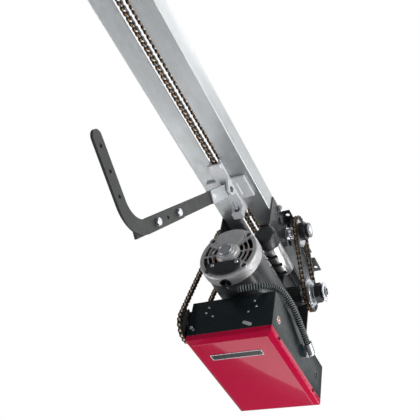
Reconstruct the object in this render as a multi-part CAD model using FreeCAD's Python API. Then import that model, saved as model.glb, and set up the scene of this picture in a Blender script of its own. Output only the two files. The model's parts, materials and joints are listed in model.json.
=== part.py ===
import FreeCAD, Part
import math
import os

os.makedirs("parts", exist_ok=True)

# ---------------------------------------------------------------- driving dimensions, mm
# +X points along the track toward the door, +Y is the reduction-chain side, +Z is up.
# The origin is the centre of the four ceiling-hanger holes, in the top plane of the head's ears.
PITCH = 12.7            # roller chain pitch
CHAIN_H = 5.2           # half height of the chain side plates
CHAIN_IN = 3.9          # inside half width of the chain side plates
CHAIN_OUT = 6.3         # outside half width over the pins
TOOTH_W = 2.9           # half thickness of a sprocket

RAIL_T = 3.2            # rail angle thickness
RAIL_LEG = 50.8         # rail angle leg
RAIL_Y = 66.7           # outer face of each rail
RAIL_Z = -52.0          # underside of the rails
RAIL_X0 = 110.0
RAIL_X1 = 960.0

HEAD_X0 = -130.0
HEAD_X1 = 190.0
HEAD_Y = 70.0           # outer face of the head's side plates
HEAD_T = 3.0
HEAD_Z = -102.0         # underside of the head
PAN_X = 62.0            # front edge of the head's full-width pan
EAR_Y = 91.0
EAR_X = 128.0
HANGER_X = 112.0        # hanger hole pattern, half spacings
HANGER_Y = 80.5

SHAFT_X = 78.0          # drive shaft axis
SHAFT_Z = -39.0
SHAFT_R = 11.0
OUT_X = -25.6           # reducer output shaft axis
OUT_Z = -167.5
OUT_R = 10.0
LIM_X = 170.7           # limit shaft axis
LIM_Z = -369.1
LIM_R = 5.0
IDLER_X = SHAFT_X + 65.5 * PITCH
Y_RED = 105.0           # plane of the reduction chain
Y_LIM = -118.0          # plane of the limit chain
N_TROLLEY = 9
N_DRIVEN = 19
N_CLUTCH = 21
N_LIM_TOP = 21
N_LIM_LOW = 19

MOTOR_Y = -4.0          # motor and worm axis
MOTOR_Z = -224.0
MOTOR_R = 77.0
MOTOR_X0 = 24.0
MOTOR_X1 = 240.0

BOX_X0 = -140.0
BOX_X1 = 185.0
BOX_Y = 107.0
BOX_Z0 = -410.0
BOX_Z1 = -316.0
BOX_T = 1.5
COVER_Z = -430.0
COVER_BEVEL = 13.0

PIVOT_X = 310.0         # door arm pivot on the trolley
PIVOT_Z = -81.0
ARM_ANGLE = 36.0        # arm direction from straight down, toward the door
ARM_W = 30.0
ARM_T = 6.0
ARM_PITCH = 48.5        # hole spacing in both arms
ARM_CORNER = 495.0      # pivot to the corner of the bent arm
ARM_TURN = 80.6
ARM_LEG = 185.0
ARM_BEND_R = 70.0


# ---------------------------------------------------------------- small helpers
def vec(x, y, z):
    return FreeCAD.Vector(x, y, z)


def block(x0, x1, y0, y1, z0, z1):
    return Part.makeBox(x1 - x0, y1 - y0, z1 - z0, vec(x0, y0, z0))


def rod_x(r, x0, x1, y, z):
    return Part.makeCylinder(r, x1 - x0, vec(x0, y, z), vec(1, 0, 0))


def rod_y(r, y0, y1, x, z):
    return Part.makeCylinder(r, y1 - y0, vec(x, y0, z), vec(0, 1, 0))


def rod_z(r, z0, z1, x, y):
    return Part.makeCylinder(r, z1 - z0, vec(x, y, z0), vec(0, 0, 1))


def rod_between(r, a, b):
    return Part.makeCylinder(r, (b - a).Length, a, b - a)


def fuse(shapes):
    first = shapes[0]
    if len(shapes) == 1:
        return first
    return first.multiFuse(shapes[1:]).removeSplitter()


def cut(shape, tools):
    for tool in tools:
        shape = shape.cut(tool)
    return shape


def plate_xz(points, y0, y1):
    """Flat plate with a polygon outline in the XZ plane."""
    wire = Part.makePolygon([vec(x, y0, z) for x, z in points] + [vec(points[0][0], y0, points[0][1])])
    return Part.Face(wire).extrude(vec(0, y1 - y0, 0))


def hexagon(across, x, z, y0, y1):
    r = across / 2 / math.cos(math.pi / 6)
    corners = [(x + r * math.cos(k * math.pi / 3), z + r * math.sin(k * math.pi / 3)) for k in range(6)]
    return plate_xz(corners, y0, y1)


def hexagon_x(across, y, z, x0, x1):
    shape = hexagon(across, 0, 0, 0, x1 - x0)
    shape.rotate(vec(0, 0, 0), vec(0, 0, 1), -90)
    shape.translate(vec(x0, y, z))
    return shape


def hexagon_z(across, x, y, z0, z1):
    shape = hexagon(across, 0, 0, 0, z1 - z0)
    shape.rotate(vec(0, 0, 0), vec(1, 0, 0), 90)
    shape.translate(vec(x, y, z0))
    return shape


def save(name, shapes):
    if isinstance(shapes, list):
        shape = shapes[0] if len(shapes) == 1 else Part.makeCompound(shapes)
    else:
        shape = shapes
    shape.exportStep("parts/" + name + ".step")


# ---------------------------------------------------------------- chains and sprockets
def pitch_radius(teeth):
    return PITCH / 2 / math.sin(math.pi / teeth)


def sprocket(teeth, x, z, y, phase):
    """Toothed plate with its axis along Y; a gullet faces the phase angle."""
    r = pitch_radius(teeth)
    points = []
    step = 2 * math.pi / teeth
    for k in range(teeth):
        a = phase + k * step
        for f, rad in ((-0.21, r - 3.2), (0.0, r - 4.1), (0.21, r - 3.2), (0.42, r + 3.0), (0.58, r + 3.0)):
            points.append((x + rad * math.cos(a + f * step), z + rad * math.sin(a + f * step)))
    return plate_xz(points, y - TOOTH_W, y + TOOTH_W)


def loop_face(xa, za, ra, xb, zb, rb, y):
    """Belt-shaped face round two circles, in the plane y."""
    dx = xb - xa
    dz = zb - za
    dist = math.hypot(dx, dz)
    base = math.atan2(dz, dx)
    off = math.acos((ra - rb) / dist)
    a1 = base + off
    a2 = base - off

    def at(x, z, r, a):
        return vec(x + r * math.cos(a), y, z + r * math.sin(a))

    arc_a = Part.Arc(at(xa, za, ra, a1), at(xa, za, ra, base + math.pi), at(xa, za, ra, a2)).toShape()
    arc_b = Part.Arc(at(xb, zb, rb, a2), at(xb, zb, rb, base), at(xb, zb, rb, a1)).toShape()
    side_1 = Part.makeLine(at(xa, za, ra, a2), at(xb, zb, rb, a2))
    side_2 = Part.makeLine(at(xb, zb, rb, a1), at(xa, za, ra, a1))
    return Part.Face(Part.Wire([arc_a, side_1, arc_b, side_2]))


def chain_layout(xa, za, na, xb, zb, nb):
    """Tangent angles, straight length in pitches and the gullet phase of both sprockets.

    Rollers sit at whole pitches along the loop, counted from the tangent point where the first
    straight run leaves sprocket A.
    """
    ra = pitch_radius(na)
    rb = pitch_radius(nb)
    dist = math.hypot(xb - xa, zb - za)
    base = math.atan2(zb - za, xb - xa)
    off = math.acos((ra - rb) / dist)
    straight = math.sqrt(dist ** 2 - (ra - rb) ** 2) / PITCH
    lead = math.ceil(straight) - straight
    return base + off, base - off, straight, base - off, base - off + lead * 2 * math.pi / nb


def tooth_reach(r):
    """How far past the tangent point, in pitches, the teeth of a sprocket can meet a roller."""
    return (math.sqrt((r + 3.0) ** 2 - (r - 3.6) ** 2) + 4.2) / PITCH


def chain(xa, za, na, xb, zb, nb, y):
    """Chain loop: a row of side plates on each side, joined by the rollers of the straight runs."""
    ra = pitch_radius(na)
    rb = pitch_radius(nb)
    parts = []
    for y0, y1 in ((y - CHAIN_OUT, y - CHAIN_IN), (y + CHAIN_IN, y + CHAIN_OUT)):
        outer = loop_face(xa, za, ra + CHAIN_H, xb, zb, rb + CHAIN_H, y0).extrude(vec(0, y1 - y0, 0))
        inner = loop_face(xa, za, ra - CHAIN_H, xb, zb, rb - CHAIN_H, y0).extrude(vec(0, y1 - y0, 0))
        parts.append(outer.cut(inner))
    a1, a2, straight, phase_a, phase_b = chain_layout(xa, za, na, xb, zb, nb)
    back = straight + nb * (a1 - a2) / (2 * math.pi)
    runs = ((a2, 0.0, 1, tooth_reach(ra), tooth_reach(rb)), (a1, back, -1, tooth_reach(rb), tooth_reach(ra)))
    for a, start, way, clear_0, clear_1 in runs:
        p0 = (xa + ra * math.cos(a), za + ra * math.sin(a))
        p1 = (xb + rb * math.cos(a), zb + rb * math.sin(a))
        for k in range(math.ceil(start + clear_0), int(start + straight - clear_1) + 1):
            t = (k - start) / straight
            if way < 0:
                t = 1 - t
            parts.append(rod_y(3.6, y - CHAIN_IN - 0.5, y + CHAIN_IN + 0.5,
                               p0[0] + (p1[0] - p0[0]) * t, p0[1] + (p1[1] - p0[1]) * t))
    return fuse(parts)


TROLLEY_LOOP = (SHAFT_X, SHAFT_Z, N_TROLLEY, IDLER_X, SHAFT_Z, N_TROLLEY)
REDUCTION_LOOP = (SHAFT_X, SHAFT_Z, N_DRIVEN, OUT_X, OUT_Z, N_CLUTCH)
LIMIT_LOOP = (SHAFT_X, SHAFT_Z, N_LIM_TOP, LIM_X, LIM_Z, N_LIM_LOW)


# ---------------------------------------------------------------- track
def rail(side):
    y_in = RAIL_Y - RAIL_LEG
    flange = block(RAIL_X0, RAIL_X1, y_in, RAIL_Y, RAIL_Z, RAIL_Z + RAIL_T)
    web = block(RAIL_X0, RAIL_X1, RAIL_Y - RAIL_T, RAIL_Y, RAIL_Z, RAIL_Z + RAIL_LEG)
    shape = fuse([flange, web])
    holes = [rod_y(5.3, RAIL_Y - 10, RAIL_Y + 10, x, -38.0) for x in (130.0, 935.0)]
    holes += [rod_y(4.3, RAIL_Y - 10, RAIL_Y + 10, x, -9.0) for x in (150.0, 935.0)]
    shape = cut(shape, holes)
    if side < 0:
        shape = shape.mirror(vec(0, 0, 0), vec(0, 1, 0))
    return shape


def track_spacers():
    """Cross tubes between the upright legs of the rails, each clamped by its own through bolt."""
    shapes = []
    for x, y_out in ((150.0, HEAD_Y), (935.0, 70.0)):
        tube = rod_y(6.0, -(RAIL_Y - RAIL_T), RAIL_Y - RAIL_T, x, -9.0)
        bolt = rod_y(4.0, -y_out - 9, y_out + 9, x, -9.0)
        heads = [hexagon(13.0, x, -9.0, y_out, y_out + 6), hexagon(13.0, x, -9.0, -y_out - 6, -y_out)]
        shapes.append(fuse([tube, bolt] + heads))
    return shapes


def rail_bolts():
    shapes = []
    for x in (130.0, 935.0):
        for s in (1, -1):
            y_out = HEAD_Y
            head = rod_y(10.0, y_out, y_out + 4, x, -38.0)
            shank = rod_y(5.0, RAIL_Y - RAIL_T - 12, y_out, x, -38.0)
            nut = hexagon(16.0, x, -38.0, RAIL_Y - RAIL_T - 8, RAIL_Y - RAIL_T)
            shape = fuse([head, shank, nut])
            if s < 0:
                shape = shape.mirror(vec(0, 0, 0), vec(0, 1, 0))
            shapes.append(shape)
    return shapes


def header_bracket():
    """Cross plate at the door end with two side tabs bolted to the rails."""
    plate = block(RAIL_X1, RAIL_X1 + 5, -95, 95, -84, 0)
    plate = cut(plate, [rod_x(5.5, RAIL_X1 - 1, RAIL_X1 + 6, y, z) for y in (-84, 84) for z in (-72, -12)])
    plate = cut(plate, [rod_x(4.2, RAIL_X1 - 1, RAIL_X1 + 6, 0, SHAFT_Z)])
    tabs = [block(905, RAIL_X1 + 1, 66.7, 70, RAIL_Z - 4, 0), block(905, RAIL_X1 + 1, -70, -66.7, RAIL_Z - 4, 0)]
    shape = fuse([plate] + tabs)
    holes = [rod_y(5.3, -80, 80, 935, -38.0), rod_y(4.3, -80, 80, 935, -9.0)]
    return cut(shape, holes)


def idler_bracket():
    """Fork with a riveted axle for the door-end sprocket and a tension screw through the cross plate."""
    web = block(944, 950, -14, 14, SHAFT_Z - 17, SHAFT_Z + 17)
    cheeks = [block(892, 950, s * 14 - (4 if s > 0 else 0), s * 14 + (0 if s > 0 else 4), SHAFT_Z - 12, SHAFT_Z + 12)
              for s in (1, -1)]
    screw = rod_x(4.0, 949, RAIL_X1 + 4.5, 0, SHAFT_Z)
    nut = hexagon_x(13.0, 0, SHAFT_Z, RAIL_X1 - 6.5, RAIL_X1)
    pin = [rod_y(5.0, -16, 16, IDLER_X, SHAFT_Z)] + [rod_y(8.0, y, y + 3, IDLER_X, SHAFT_Z) for y in (-17, 14)]
    return fuse([web] + cheeks + [screw, nut] + pin)


def idler_sprocket():
    hub = rod_y(11.0, -9.5, 9.5, IDLER_X, SHAFT_Z)
    shape = fuse([sprocket(N_TROLLEY, IDLER_X, SHAFT_Z, 0.0, chain_layout(*TROLLEY_LOOP)[4]), hub])
    return cut(shape, [rod_y(5.05, -12, 12, IDLER_X, SHAFT_Z)])


# ---------------------------------------------------------------- head frame
def bearing_holes(x, z, tilt):
    a = math.radians(tilt)
    return [(x + s * 27.0 * math.sin(a), z + s * 27.0 * math.cos(a)) for s in (1, -1)]


def head_frame():
    """Side plates, ears, pan and rear plate, drawn as the flat panels between the frame's bends."""
    holes = [rod_y(13.0, -80, 80, SHAFT_X, SHAFT_Z), rod_y(5.3, -80, 80, 130.0, -38.0)]
    holes += [rod_y(4.3, -80, 80, 150.0, -9.0), rod_y(6.0, -80, 80, 157.0, -22.0)]
    holes += [rod_y(4.1, -80, 80, x, z) for x, z in bearing_holes(SHAFT_X, SHAFT_Z, 22.0)]
    holes += [block(x - 2, x + 2, -80, 80, -78, -69) for x in (125.0, 166.0)]
    ear_cuts = [rod_z(5.5, -10, 5, x, s * HANGER_Y) for x in (-HANGER_X, HANGER_X) for s in (1, -1)]
    ear_cuts += [block(x - 12, x + 12, s * 89 - 7, s * 89 + 7, -10, 5) for x in (-60.0, 60.0) for s in (1, -1)]
    y_in = HEAD_Y - HEAD_T
    panels = []
    for y0, ear_y0 in ((y_in, HEAD_Y), (-HEAD_Y, -EAR_Y)):
        side = fuse([block(HEAD_X0, HEAD_X1, y0, y0 + HEAD_T, HEAD_Z, -5.0),
                     block(-EAR_X, EAR_X, y0, y0 + HEAD_T, -6.0, 0.0)])
        panels.append(cut(side, holes))
        panels.append(cut(block(-EAR_X, EAR_X, ear_y0, ear_y0 + EAR_Y - HEAD_Y, -HEAD_T, 0.0), ear_cuts))
    feet = [rod_z(4.3, HEAD_Z - 5, HEAD_Z + 8, x, y) for x in (-92, 36) for y in (-44, 44)]
    hang = [rod_z(3.3, HEAD_Z - 5, HEAD_Z + 8, -118.0, y) for y in (-52, 52)]
    z_pan = HEAD_Z + HEAD_T
    panels.append(cut(block(HEAD_X0, PAN_X, -y_in, y_in, HEAD_Z, z_pan), feet + hang))
    panels.append(block(PAN_X, HEAD_X1, 43, y_in, HEAD_Z, z_pan))
    panels.append(block(PAN_X, HEAD_X1, -y_in, -43, HEAD_Z, z_pan))
    panels.append(block(HEAD_X0, HEAD_X0 + HEAD_T, -y_in, y_in, z_pan, -45.0))
    return panels


def shaft_bearings():
    """Two-bolt flange bearings, one outside each side plate."""
    shapes = []
    a = math.radians(22.0)
    for s in (1, -1):
        flange = rod_y(22.0, HEAD_Y, HEAD_Y + 5, SHAFT_X, SHAFT_Z)
        lugs = []
        for x, z in bearing_holes(SHAFT_X, SHAFT_Z, 22.0):
            lugs.append(rod_y(8.5, HEAD_Y, HEAD_Y + 5, x, z))
        px = math.cos(a)
        pz = -math.sin(a)
        outline = []
        for t, w in ((-28, -8), (0, -22), (28, -8), (28, 8), (0, 22), (-28, 8)):
            outline.append((SHAFT_X + t * math.sin(a) + w * px, SHAFT_Z + t * math.cos(a) + w * pz))
        body = plate_xz(outline, HEAD_Y, HEAD_Y + 5)
        boss = rod_y(18.0, HEAD_Y + 4, HEAD_Y + 16, SHAFT_X, SHAFT_Z)
        shape = fuse([flange, body, boss] + lugs)
        tools = [rod_y(SHAFT_R + 0.05, 60, 100, SHAFT_X, SHAFT_Z)]
        tools += [rod_y(4.1, 60, 100, x, z) for x, z in bearing_holes(SHAFT_X, SHAFT_Z, 22.0)]
        shape = cut(shape, tools)
        if s < 0:
            shape = shape.mirror(vec(0, 0, 0), vec(0, 1, 0))
        shapes.append(shape)
    return shapes


def bearing_bolts():
    shapes = []
    for s in (1, -1):
        for x, z in bearing_holes(SHAFT_X, SHAFT_Z, 22.0):
            head = hexagon(13.0, x, z, HEAD_Y + 5, HEAD_Y + 10.5)
            shank = rod_y(4.0, HEAD_Y - HEAD_T - 8, HEAD_Y + 5, x, z)
            nut = hexagon(13.0, x, z, HEAD_Y - HEAD_T - 6.5, HEAD_Y - HEAD_T)
            shape = fuse([head, shank, nut])
            if s < 0:
                shape = shape.mirror(vec(0, 0, 0), vec(0, 1, 0))
            shapes.append(shape)
    return shapes


# ---------------------------------------------------------------- drive shaft group
def drive_shaft():
    return rod_y(SHAFT_R, -130.0, 130.0, SHAFT_X, SHAFT_Z)


def drive_sprocket():
    hub = [rod_y(15.0, 7.5, 24.0, SHAFT_X, SHAFT_Z), rod_y(12.9, 0.0, 8.0, SHAFT_X, SHAFT_Z)]
    shape = fuse([sprocket(N_TROLLEY, SHAFT_X, SHAFT_Z, 0.0, chain_layout(*TROLLEY_LOOP)[3])] + hub)
    shape = cut(shape, [rod_y(SHAFT_R, -12, 30, SHAFT_X, SHAFT_Z)])
    return shape


def driven_sprocket():
    hub = rod_y(24.0, Y_RED + 2, Y_RED + 19, SHAFT_X, SHAFT_Z)
    shape = fuse([sprocket(N_DRIVEN, SHAFT_X, SHAFT_Z, Y_RED, chain_layout(*REDUCTION_LOOP)[3]), hub])
    return cut(shape, [rod_y(SHAFT_R, Y_RED - 5, Y_RED + 25, SHAFT_X, SHAFT_Z)])


def limit_drive_sprocket():
    hub = rod_y(18.0, Y_LIM + 2, Y_LIM + 15, SHAFT_X, SHAFT_Z)
    shape = fuse([sprocket(N_LIM_TOP, SHAFT_X, SHAFT_Z, Y_LIM, chain_layout(*LIMIT_LOOP)[3]), hub])
    return cut(shape, [rod_y(SHAFT_R, Y_LIM - 5, Y_LIM + 20, SHAFT_X, SHAFT_Z)])


def shaft_end_washer():
    washer = rod_y(20.0, 130.0, 133.5, SHAFT_X, SHAFT_Z)
    head = hexagon(13.0, SHAFT_X, SHAFT_Z, 133.0, 138.5)
    return fuse([washer, head])


# ---------------------------------------------------------------- reducer and clutch
def reducer_housing():
    """Worm reducer case, open on its -Y side, hung from the head's pan by a foot."""
    y0 = -44.0
    case = block(-84, MOTOR_X0, y0, 48, -256, -110)
    foot = block(-104, 46, -54, 54, -112, HEAD_Z)
    web = block(-60, 10, -40, 44, -112, -108)
    boss = rod_y(26.0, 47, 82, OUT_X, OUT_Z)
    nose = rod_x(39.5, 20.0, MOTOR_X0, MOTOR_Y, MOTOR_Z)
    shape = fuse([case, foot, web, boss, nose])
    cavity = block(-77, 17, y0 - 1, 40, -249, -118)
    tools = [cavity, rod_y(OUT_R + 0.05, 30, 100, OUT_X, OUT_Z)]
    tools += [rod_x(13.0, 10, 30, MOTOR_Y, MOTOR_Z), rod_x(8.05, -85, -70, MOTOR_Y, MOTOR_Z)]
    tools += [rod_z(4.3, -120, -95, x, y) for x in (-92, 36) for y in (-44, 44)]
    edges = [e for e in shape.Edges if abs(e.tangentAt(e.FirstParameter).y) > 0.99 and e.Length > 60]
    corner = []
    for e in edges:
        c = e.CenterOfMass
        if c.z < -200 and (c.x < -80 or c.x > 20):
            corner.append(e)
    if corner:
        shape = shape.makeFillet(8.0, corner)
    return cut(shape, tools)


def reducer_cover():
    plate = block(-84, MOTOR_X0, -51.0, -44.0, -256, -112.0)
    bulge = rod_y(46.0, -56.0, -51.0, OUT_X, OUT_Z)
    shape = fuse([plate, bulge])
    tools = [rod_y(OUT_R + 0.05, -53.0, -40, OUT_X, OUT_Z)]
    tools += [rod_y(3.1, -52, -40, x, z) for x, z in cover_points()]
    return cut(shape, tools)


def cover_points():
    return [(-80.5, -252.5), (20.5, -252.5), (-80.5, -180.0), (20.5, -180.0), (-80.5, -117.0), (20.5, -117.0)]


def foot_bolts():
    """Bolts of the reducer foot, up through the head's pan."""
    shapes = []
    for x in (-92, 36):
        for y in (-44, 44):
            head = hexagon_z(13.0, x, y, -118.0, -112.0)
            shank = rod_z(4.0, -112.0, HEAD_Z + HEAD_T + 8, x, y)
            nut = hexagon_z(13.0, x, y, HEAD_Z + HEAD_T, HEAD_Z + HEAD_T + 6)
            shapes.append(fuse([head, shank, nut]))
    return shapes


def output_shaft():
    shaft = rod_y(OUT_R, -50.0, 150.0, OUT_X, OUT_Z)
    shoulder = rod_y(20.0, 84.0, 95.0, OUT_X, OUT_Z)
    return fuse([shaft, shoulder])


def worm_wheel():
    rim = rod_y(42.0, MOTOR_Y - 11, MOTOR_Y + 11, OUT_X, OUT_Z)
    hub = rod_y(18.0, MOTOR_Y - 22, MOTOR_Y + 22, OUT_X, OUT_Z)
    shape = fuse([rim, hub])
    throat = Part.makeCylinder(14.4, 200, vec(OUT_X - 100, MOTOR_Y, MOTOR_Z), vec(1, 0, 0))
    reach = rod_y(60.0, MOTOR_Y - 30, MOTOR_Y + 30, OUT_X, OUT_Z)
    return cut(shape, [rod_y(OUT_R, -60, 60, OUT_X, OUT_Z), throat.common(reach)])


def clutch_sprocket():
    plate = sprocket(N_CLUTCH, OUT_X, OUT_Z, Y_RED, chain_layout(*REDUCTION_LOOP)[4])
    return cut(plate, [rod_y(OUT_R + 0.05, Y_RED - 6, Y_RED + 6, OUT_X, OUT_Z)])


def clutch_discs():
    """Friction and pressure discs either side of the sprocket, and the dished spring washers."""
    shapes = []
    stack = ((32.0, 95.0, 98.4), (30.0, 98.4, 101.95), (30.0, 108.05, 111.4), (32.0, 111.4, 114.0),
             (26.0, 114.0, 117.5), (22.0, 117.5, 122.0))
    for r, y0, y1 in stack:
        shapes.append(cut(rod_y(r, y0, y1, OUT_X, OUT_Z), [rod_y(OUT_R, y0 - 1, y1 + 1, OUT_X, OUT_Z)]))
    return shapes


def clutch_nut():
    body = hexagon(46.0, OUT_X, OUT_Z, 122.0, 138.0)
    crown = rod_y(20.0, 137.0, 144.0, OUT_X, OUT_Z)
    slots = [block(OUT_X - 25, OUT_X + 25, 140.5, 145, OUT_Z - 2.5, OUT_Z + 2.5)]
    turned = slots[0].copy()
    turned.rotate(vec(OUT_X, 0, OUT_Z), vec(0, 1, 0), 60)
    other = slots[0].copy()
    other.rotate(vec(OUT_X, 0, OUT_Z), vec(0, 1, 0), 120)
    shape = fuse([body, crown])
    return cut(shape, slots + [turned, other, rod_y(OUT_R, 120, 150, OUT_X, OUT_Z)])


def lock_disc():
    disc = rod_y(25.0, 144.2, 147.2, OUT_X, OUT_Z)
    return cut(disc, [rod_y(OUT_R, 140, 150, OUT_X, OUT_Z), block(OUT_X - 30, OUT_X - 17, 140, 150, OUT_Z - 3, OUT_Z + 3)])


# ---------------------------------------------------------------- motor
def motor_rear_flange():
    shape = rod_x(MOTOR_R - 1, MOTOR_X0, MOTOR_X0 + 16, MOTOR_Y, MOTOR_Z)
    pocket = rod_x(70.5, MOTOR_X0 + 8, MOTOR_X0 + 20, MOTOR_Y, MOTOR_Z)
    return cut(shape, [pocket, rod_x(8.05, 0, 60, MOTOR_Y, MOTOR_Z)] + motor_bolt_holes(3.1, 0, 60))


def motor_bolt_holes(r, x0, x1):
    spots = [(sy * 47.0, sz * 47.0) for sy in (1, -1) for sz in (1, -1)]
    return [rod_x(r, x0, x1, MOTOR_Y + dy, MOTOR_Z + dz) for dy, dz in spots]


def motor_shell():
    """Rolled steel shell with the stator core pressed into it."""
    tube = rod_x(MOTOR_R - 2.5, MOTOR_X0 + 16, 208.0, MOTOR_Y, MOTOR_Z)
    bore = rod_x(MOTOR_R - 5.5, MOTOR_X0 + 10, 213.0, MOTOR_Y, MOTOR_Z)
    stator = rod_x(MOTOR_R - 4.0, 70.0, 165.0, MOTOR_Y, MOTOR_Z)
    stator = cut(stator, [rod_x(42.0, 65.0, 170.0, MOTOR_Y, MOTOR_Z)] + motor_bolt_holes(3.4, 65, 170))
    return fuse([tube.cut(bore), stator])


def motor_end_bell():
    """Cast front bell: cup with arched vents, centre boss, bottom grommet hole."""
    cup = rod_x(MOTOR_R, 208.0, MOTOR_X1, MOTOR_Y, MOTOR_Z)
    hollow = rod_x(MOTOR_R - 6, 207.0, MOTOR_X1 - 7, MOTOR_Y, MOTOR_Z)
    boss = rod_x(24.0, 224.0, MOTOR_X1 + 6, MOTOR_Y, MOTOR_Z)
    step = rod_x(20.0, MOTOR_X1 + 5, MOTOR_X1 + 10, MOTOR_Y, MOTOR_Z)
    cap = rod_x(15.0, MOTOR_X1 + 9, MOTOR_X1 + 17, MOTOR_Y, MOTOR_Z)
    shape = fuse([cup.cut(hollow), boss, step, cap])
    tools = [rod_x(8.05, 200, MOTOR_X1 - 4, MOTOR_Y, MOTOR_Z), rod_z(11.5, -320, -290, 222.0, MOTOR_Y - 2)]
    for r0, r1 in ((31.5, 38.5), (43.5, 50.5), (55.5, 62.5)):
        ring = rod_x(r1, 225, 250, MOTOR_Y, MOTOR_Z).cut(rod_x(r0, 225, 250, MOTOR_Y, MOTOR_Z))
        for s in (1, -1):
            keep = block(220, 260, min(s * 26, s * 90), max(s * 26, s * 90), -24, 24)
            keep.translate(vec(0, MOTOR_Y, MOTOR_Z))
            tools.append(ring.common(keep))
    tools += motor_bolt_holes(3.1, 195, 250)
    tools += motor_bolt_holes(7.0, MOTOR_X1 - 3, MOTOR_X1 + 10)
    return cut(shape, tools)


def terminal_cover():
    disc = rod_x(67.0, MOTOR_X1, MOTOR_X1 + 6, MOTOR_Y, MOTOR_Z)
    keep = block(MOTOR_X1 - 5, MOTOR_X1 + 20, MOTOR_Y - 49, MOTOR_Y + 37, MOTOR_Z - 76, MOTOR_Z - 29)
    shape = disc.common(keep)
    shape = shape.cut(rod_x(10.0, MOTOR_X1 - 5, MOTOR_X1 + 20, MOTOR_Y + 47, MOTOR_Z - 47))
    shape = shape.cut(rod_x(10.0, MOTOR_X1 - 5, MOTOR_X1 + 20, MOTOR_Y - 47, MOTOR_Z - 47))
    return shape


def motor_screws():
    """Four long through bolts and the two screws of the terminal cover."""
    shapes = []
    for dy in (47.0, -47.0):
        for dz in (47.0, -47.0):
            shank = rod_x(3.0, MOTOR_X0 + 8.5, MOTOR_X1 - 3, MOTOR_Y + dy, MOTOR_Z + dz)
            head = hexagon_x(8.0, MOTOR_Y + dy, MOTOR_Z + dz, MOTOR_X1 - 3, MOTOR_X1 + 1)
            shapes.append(fuse([shank, head]))
    for dy in (-32.0, 32.0):
        shapes.append(rod_x(4.5, MOTOR_X1 + 6, MOTOR_X1 + 9, MOTOR_Y + dy, MOTOR_Z - 38.5))
    return shapes


def motor_rotor():
    """Rotor core on the shaft that runs through to the worm."""
    shaft = rod_x(8.0, -82.0, 235.0, MOTOR_Y, MOTOR_Z)
    core = rod_x(41.0, 72.0, 163.0, MOTOR_Y, MOTOR_Z)
    fan = rod_x(52.0, 182.0, 190.0, MOTOR_Y, MOTOR_Z)
    fan = fan.cut(rod_x(46.0, 184.0, 192.0, MOTOR_Y, MOTOR_Z))
    worm = rod_x(13.0, -62.0, 10.0, MOTOR_Y, MOTOR_Z)
    return fuse([shaft, core, fan, worm])


def capacitor():
    boot = rod_x(27.0, 152.0, 192.0, 60.0, -133.0)
    boot = boot.cut(rod_x(24.0, 151.0, 168.0, 60.0, -133.0))
    can = rod_x(23.9, 48.0, 168.0, 60.0, -133.0)
    return boot, can


def capacitor_clamp():
    """Strap round the can with three cooling ribs and its foot screwed to the head's pan."""
    shapes = []
    for x in (60.0, 92.0, 124.0):
        ring = rod_x(26.5, x - 4, x + 4, 60.0, -133.0).cut(rod_x(24.0, x - 6, x + 6, 60.0, -133.0))
        tab = block(x - 4, x + 4, 52.0, 66.0, -111.0, HEAD_Z)
        tab = tab.cut(rod_x(24.0, x - 6, x + 6, 60.0, -133.0))
        shapes.append(fuse([ring, tab]))
    return shapes


# ---------------------------------------------------------------- conduit
def conduit_points():
    elbow = vec(-19.0, 119.5, -351.0)
    back = vec(95.0, 119.0, -302.0)
    run = (back - elbow).normalize()
    end = elbow + run * 14.0
    pts = [vec(222.0, -6.0, -280.0), vec(222.0, -6.0, -328.0), vec(208.0, 72.0, -312.0),
           vec(160.0, 103.0, -286.0), back, end]
    return pts, elbow


def tube_path(pts, r, report):
    """Straight runs joined by tangent arcs, one round section swept along them."""
    pieces = []
    start = pts[0]
    length = 0.0
    for k in range(1, len(pts) - 1):
        a = pts[k - 1]
        b = pts[k]
        c = pts[k + 1]
        d1 = (b - a).normalize()
        d2 = (c - b).normalize()
        turn = d1.getAngle(d2)
        shorter = min((b - a).Length, (c - b).Length)
        radius = 0.45 * shorter / math.tan(turn / 2)
        back = radius * math.tan(turn / 2)
        p1 = b - d1 * back
        p2 = b + d2 * back
        mid_dir = (d2 - d1).normalize()
        centre = b + mid_dir * (radius / math.cos(turn / 2))
        middle = centre - mid_dir * radius
        pieces.append(Part.makeLine(start, p1))
        pieces.append(Part.Arc(p1, middle, p2).toShape())
        length += (p1 - start).Length + radius * turn
        print(report, "arc", k, "radius", round(radius, 1))
        start = p2
    pieces.append(Part.makeLine(start, pts[-1]))
    length += (pts[-1] - start).Length
    print(report, "length", round(length, 1))
    path = Part.Wire(pieces)
    circle = Part.Wire([Part.makeCircle(r, pts[0], pts[1] - pts[0])])
    return path.makePipeShell([circle], True, False)


def conduit():
    pts, elbow = conduit_points()
    return tube_path(pts, 8.0, "conduit")


def conduit_grommet():
    ring = rod_z(11.4, -303.0, -291.5, 222.0, -6.0)
    lip = rod_z(14.0, -303.5, -301.3, 222.0, -6.0)
    return cut(fuse([ring, lip]), [rod_z(8.1, -301, -285, 222.0, -6.0), rod_z(9.6, -320, -300.4, 222.0, -6.0)])


def conduit_connector():
    pts, elbow = conduit_points()
    end = pts[-1]
    run = (pts[-2] - elbow).normalize()
    body = rod_between(11.0, elbow, end)
    knuckle = Part.makeSphere(11.0, elbow)
    collar = rod_between(11.0, end, end + run * 12.0).cut(rod_between(8.1, end, end + run * 13.0))
    flange = rod_y(13.0, BOX_Y, BOX_Y + 5, elbow.x, elbow.z)
    neck = rod_y(9.0, BOX_Y, elbow.y, elbow.x, elbow.z)
    spigot = rod_y(8.0, BOX_Y - 8, BOX_Y, elbow.x, elbow.z)
    shape = fuse([body, knuckle, flange, neck, spigot])
    trim = block(elbow.x - 40, elbow.x + 60, BOX_Y - 30, BOX_Y - 0.001, elbow.z - 40, elbow.z + 60)
    shape = fuse([shape.cut(trim), spigot])
    return fuse([shape, collar])


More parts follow.
